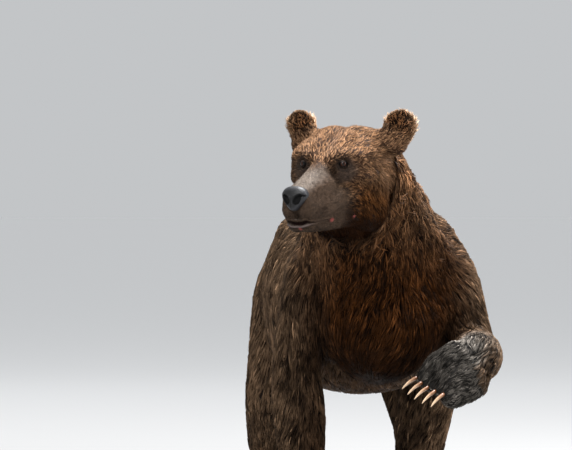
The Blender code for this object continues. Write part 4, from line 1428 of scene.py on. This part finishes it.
def make_stage():
    mesh = bpy.data.meshes.new("floor")
    edit = bmesh.new()
    bmesh.ops.create_circle(edit, cap_ends=True, segments=96, radius=60.0)
    edit.to_mesh(mesh)
    edit.free()
    floor = new_object("floor", mesh)
    nodes = Nodes("floor")
    apart = nodes.add("ShaderNodeVectorMath", operation="LENGTH")
    nodes.link(nodes.add("ShaderNodeTexCoord").outputs["Object"], apart.inputs[0])
    # The floor is painted darker towards its middle: painted shade that evens out the pool of light from the lamp
    # overhead.
    pale = nodes.span(apart.outputs["Value"], 1.0, 12.0, 0.23, 1.0)
    grey = nodes.add("ShaderNodeCombineColor")
    for channel in ("Red", "Green", "Blue"):
        nodes.link(pale, grey.inputs[channel])
    nodes.link(grey.outputs[0], nodes.shader.inputs["Base Color"])
    nodes.shader.inputs["Roughness"].default_value = 0.9
    mesh.materials.append(nodes.material)
    world = bpy.data.worlds.new("studio")
    world.use_nodes = True
    back = world.node_tree.nodes["Background"]
    back.inputs["Color"].default_value = (0.80, 0.82, 0.84, 1.0)
    back.inputs["Strength"].default_value = 0.68
    bpy.context.scene.world = world


def add_light(name, place, target, size, power, colour=(1.0, 1.0, 1.0)):
    data = bpy.data.lights.new(name, "AREA")
    data.shape = "DISK"
    data.size = size
    data.energy = power
    data.color = colour
    light = new_object(name, data)
    light.location = place
    light.rotation_euler = (Vector(target) - Vector(place)).to_track_quat("-Z", "Y").to_euler()


def make_lights():
    chest = (0.0, -0.3, 0.9)
    add_light("overhead", (0.9, 0.0, 6.5), chest, 3.0, 1180.0)
    add_light("front", (-3.6, -5.6, 5.4), chest, 2.2, 330.0)
    add_light("rim", (4.6, 2.8, 4.2), chest, 1.8, 260.0)
    add_light("side", (5.2, -4.0, 3.4), chest, 2.0, 260.0)


def make_camera():
    azimuth = radians(CAMERA_AZIMUTH)
    right = Vector((cos(azimuth), sin(azimuth), 0.0))
    forward = Vector((-sin(azimuth), cos(azimuth), 0.0))
    below = SHOULDER_MIDDLE + right * VIEW_MIDDLE_ACROSS
    target = below + Vector((0.0, 0.0, VIEW_MIDDLE_HEIGHT))
    place = below - forward * CAMERA_DISTANCE + Vector((0.0, 0.0, CAMERA_HEIGHT))
    data = bpy.data.cameras.new("camera")
    data.sensor_fit = "HORIZONTAL"
    data.sensor_width = 36.0
    data.lens = data.sensor_width * (target - place).length / VIEW_WIDTH
    data.clip_end = 300.0
    camera = new_object("camera", data)
    camera.location = place
    camera.rotation_euler = (target - place).to_track_quat("-Z", "Y").to_euler()
    bpy.context.scene.camera = camera


# ---- Everything together. ----


def make_bear():
    skin = fused_flesh()
    node = nearest_nodes(skin.points, FLESH)
    inside_ear, ear_rim, outward = ear_insides(skin, node)
    sizes = coat_sizes(skin, node, inside_ear, ear_rim)
    sole = (skin.points[:, 2] < 0.006).astype(float)
    sink(skin, sizes[:, DEPTH] * (1.0 - skin.eased(sole, 3)))
    skin.write()
    lips = shape_face(skin)
    skin.write()
    lid = open_eyes(skin)
    skin.write()
    pad = paw_pads(skin, node)
    lie = lie_of_coat(skin, node)
    marks = markings(skin, node, inside_ear, ear_rim)
    bare = np.maximum.reduce([sole, lid, pad, lips["gape"], lips["lip"], lips["lip_edge"]])
    mesh = skin.obj.data
    on_head = skin.eased((node == FLESH.index("head")).astype(float), 10)
    for mark, values in {**marks, **lips, "on_head": on_head, "lid": lid, "pad": pad}.items():
        add_values(mesh, mark, values)
    mesh.shade_smooth()
    mesh.materials.clear()
    mesh.materials.append(skin_material())
    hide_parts(*FLESH)
    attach(skin.obj, "root")
    fringe = 1.5 * marks["ear_rim"][:, None]
    skin.normals = unit(skin.normals + fringe * outward)
    grow_coat(skin, node, lie, sizes, marks, bare, coat_material())
    print("SKIN", len(mesh.polygons))


make_bear()
make_nose()
for _side in SIDES:
    make_eye(_side)
_horn = horn_material()
for _name in sorted(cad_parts):
    if "claw" in _name:
        make_claw(_name, _horn)
make_stage()
make_lights()
make_camera()
bpy.context.scene.view_settings.view_transform = "Standard"
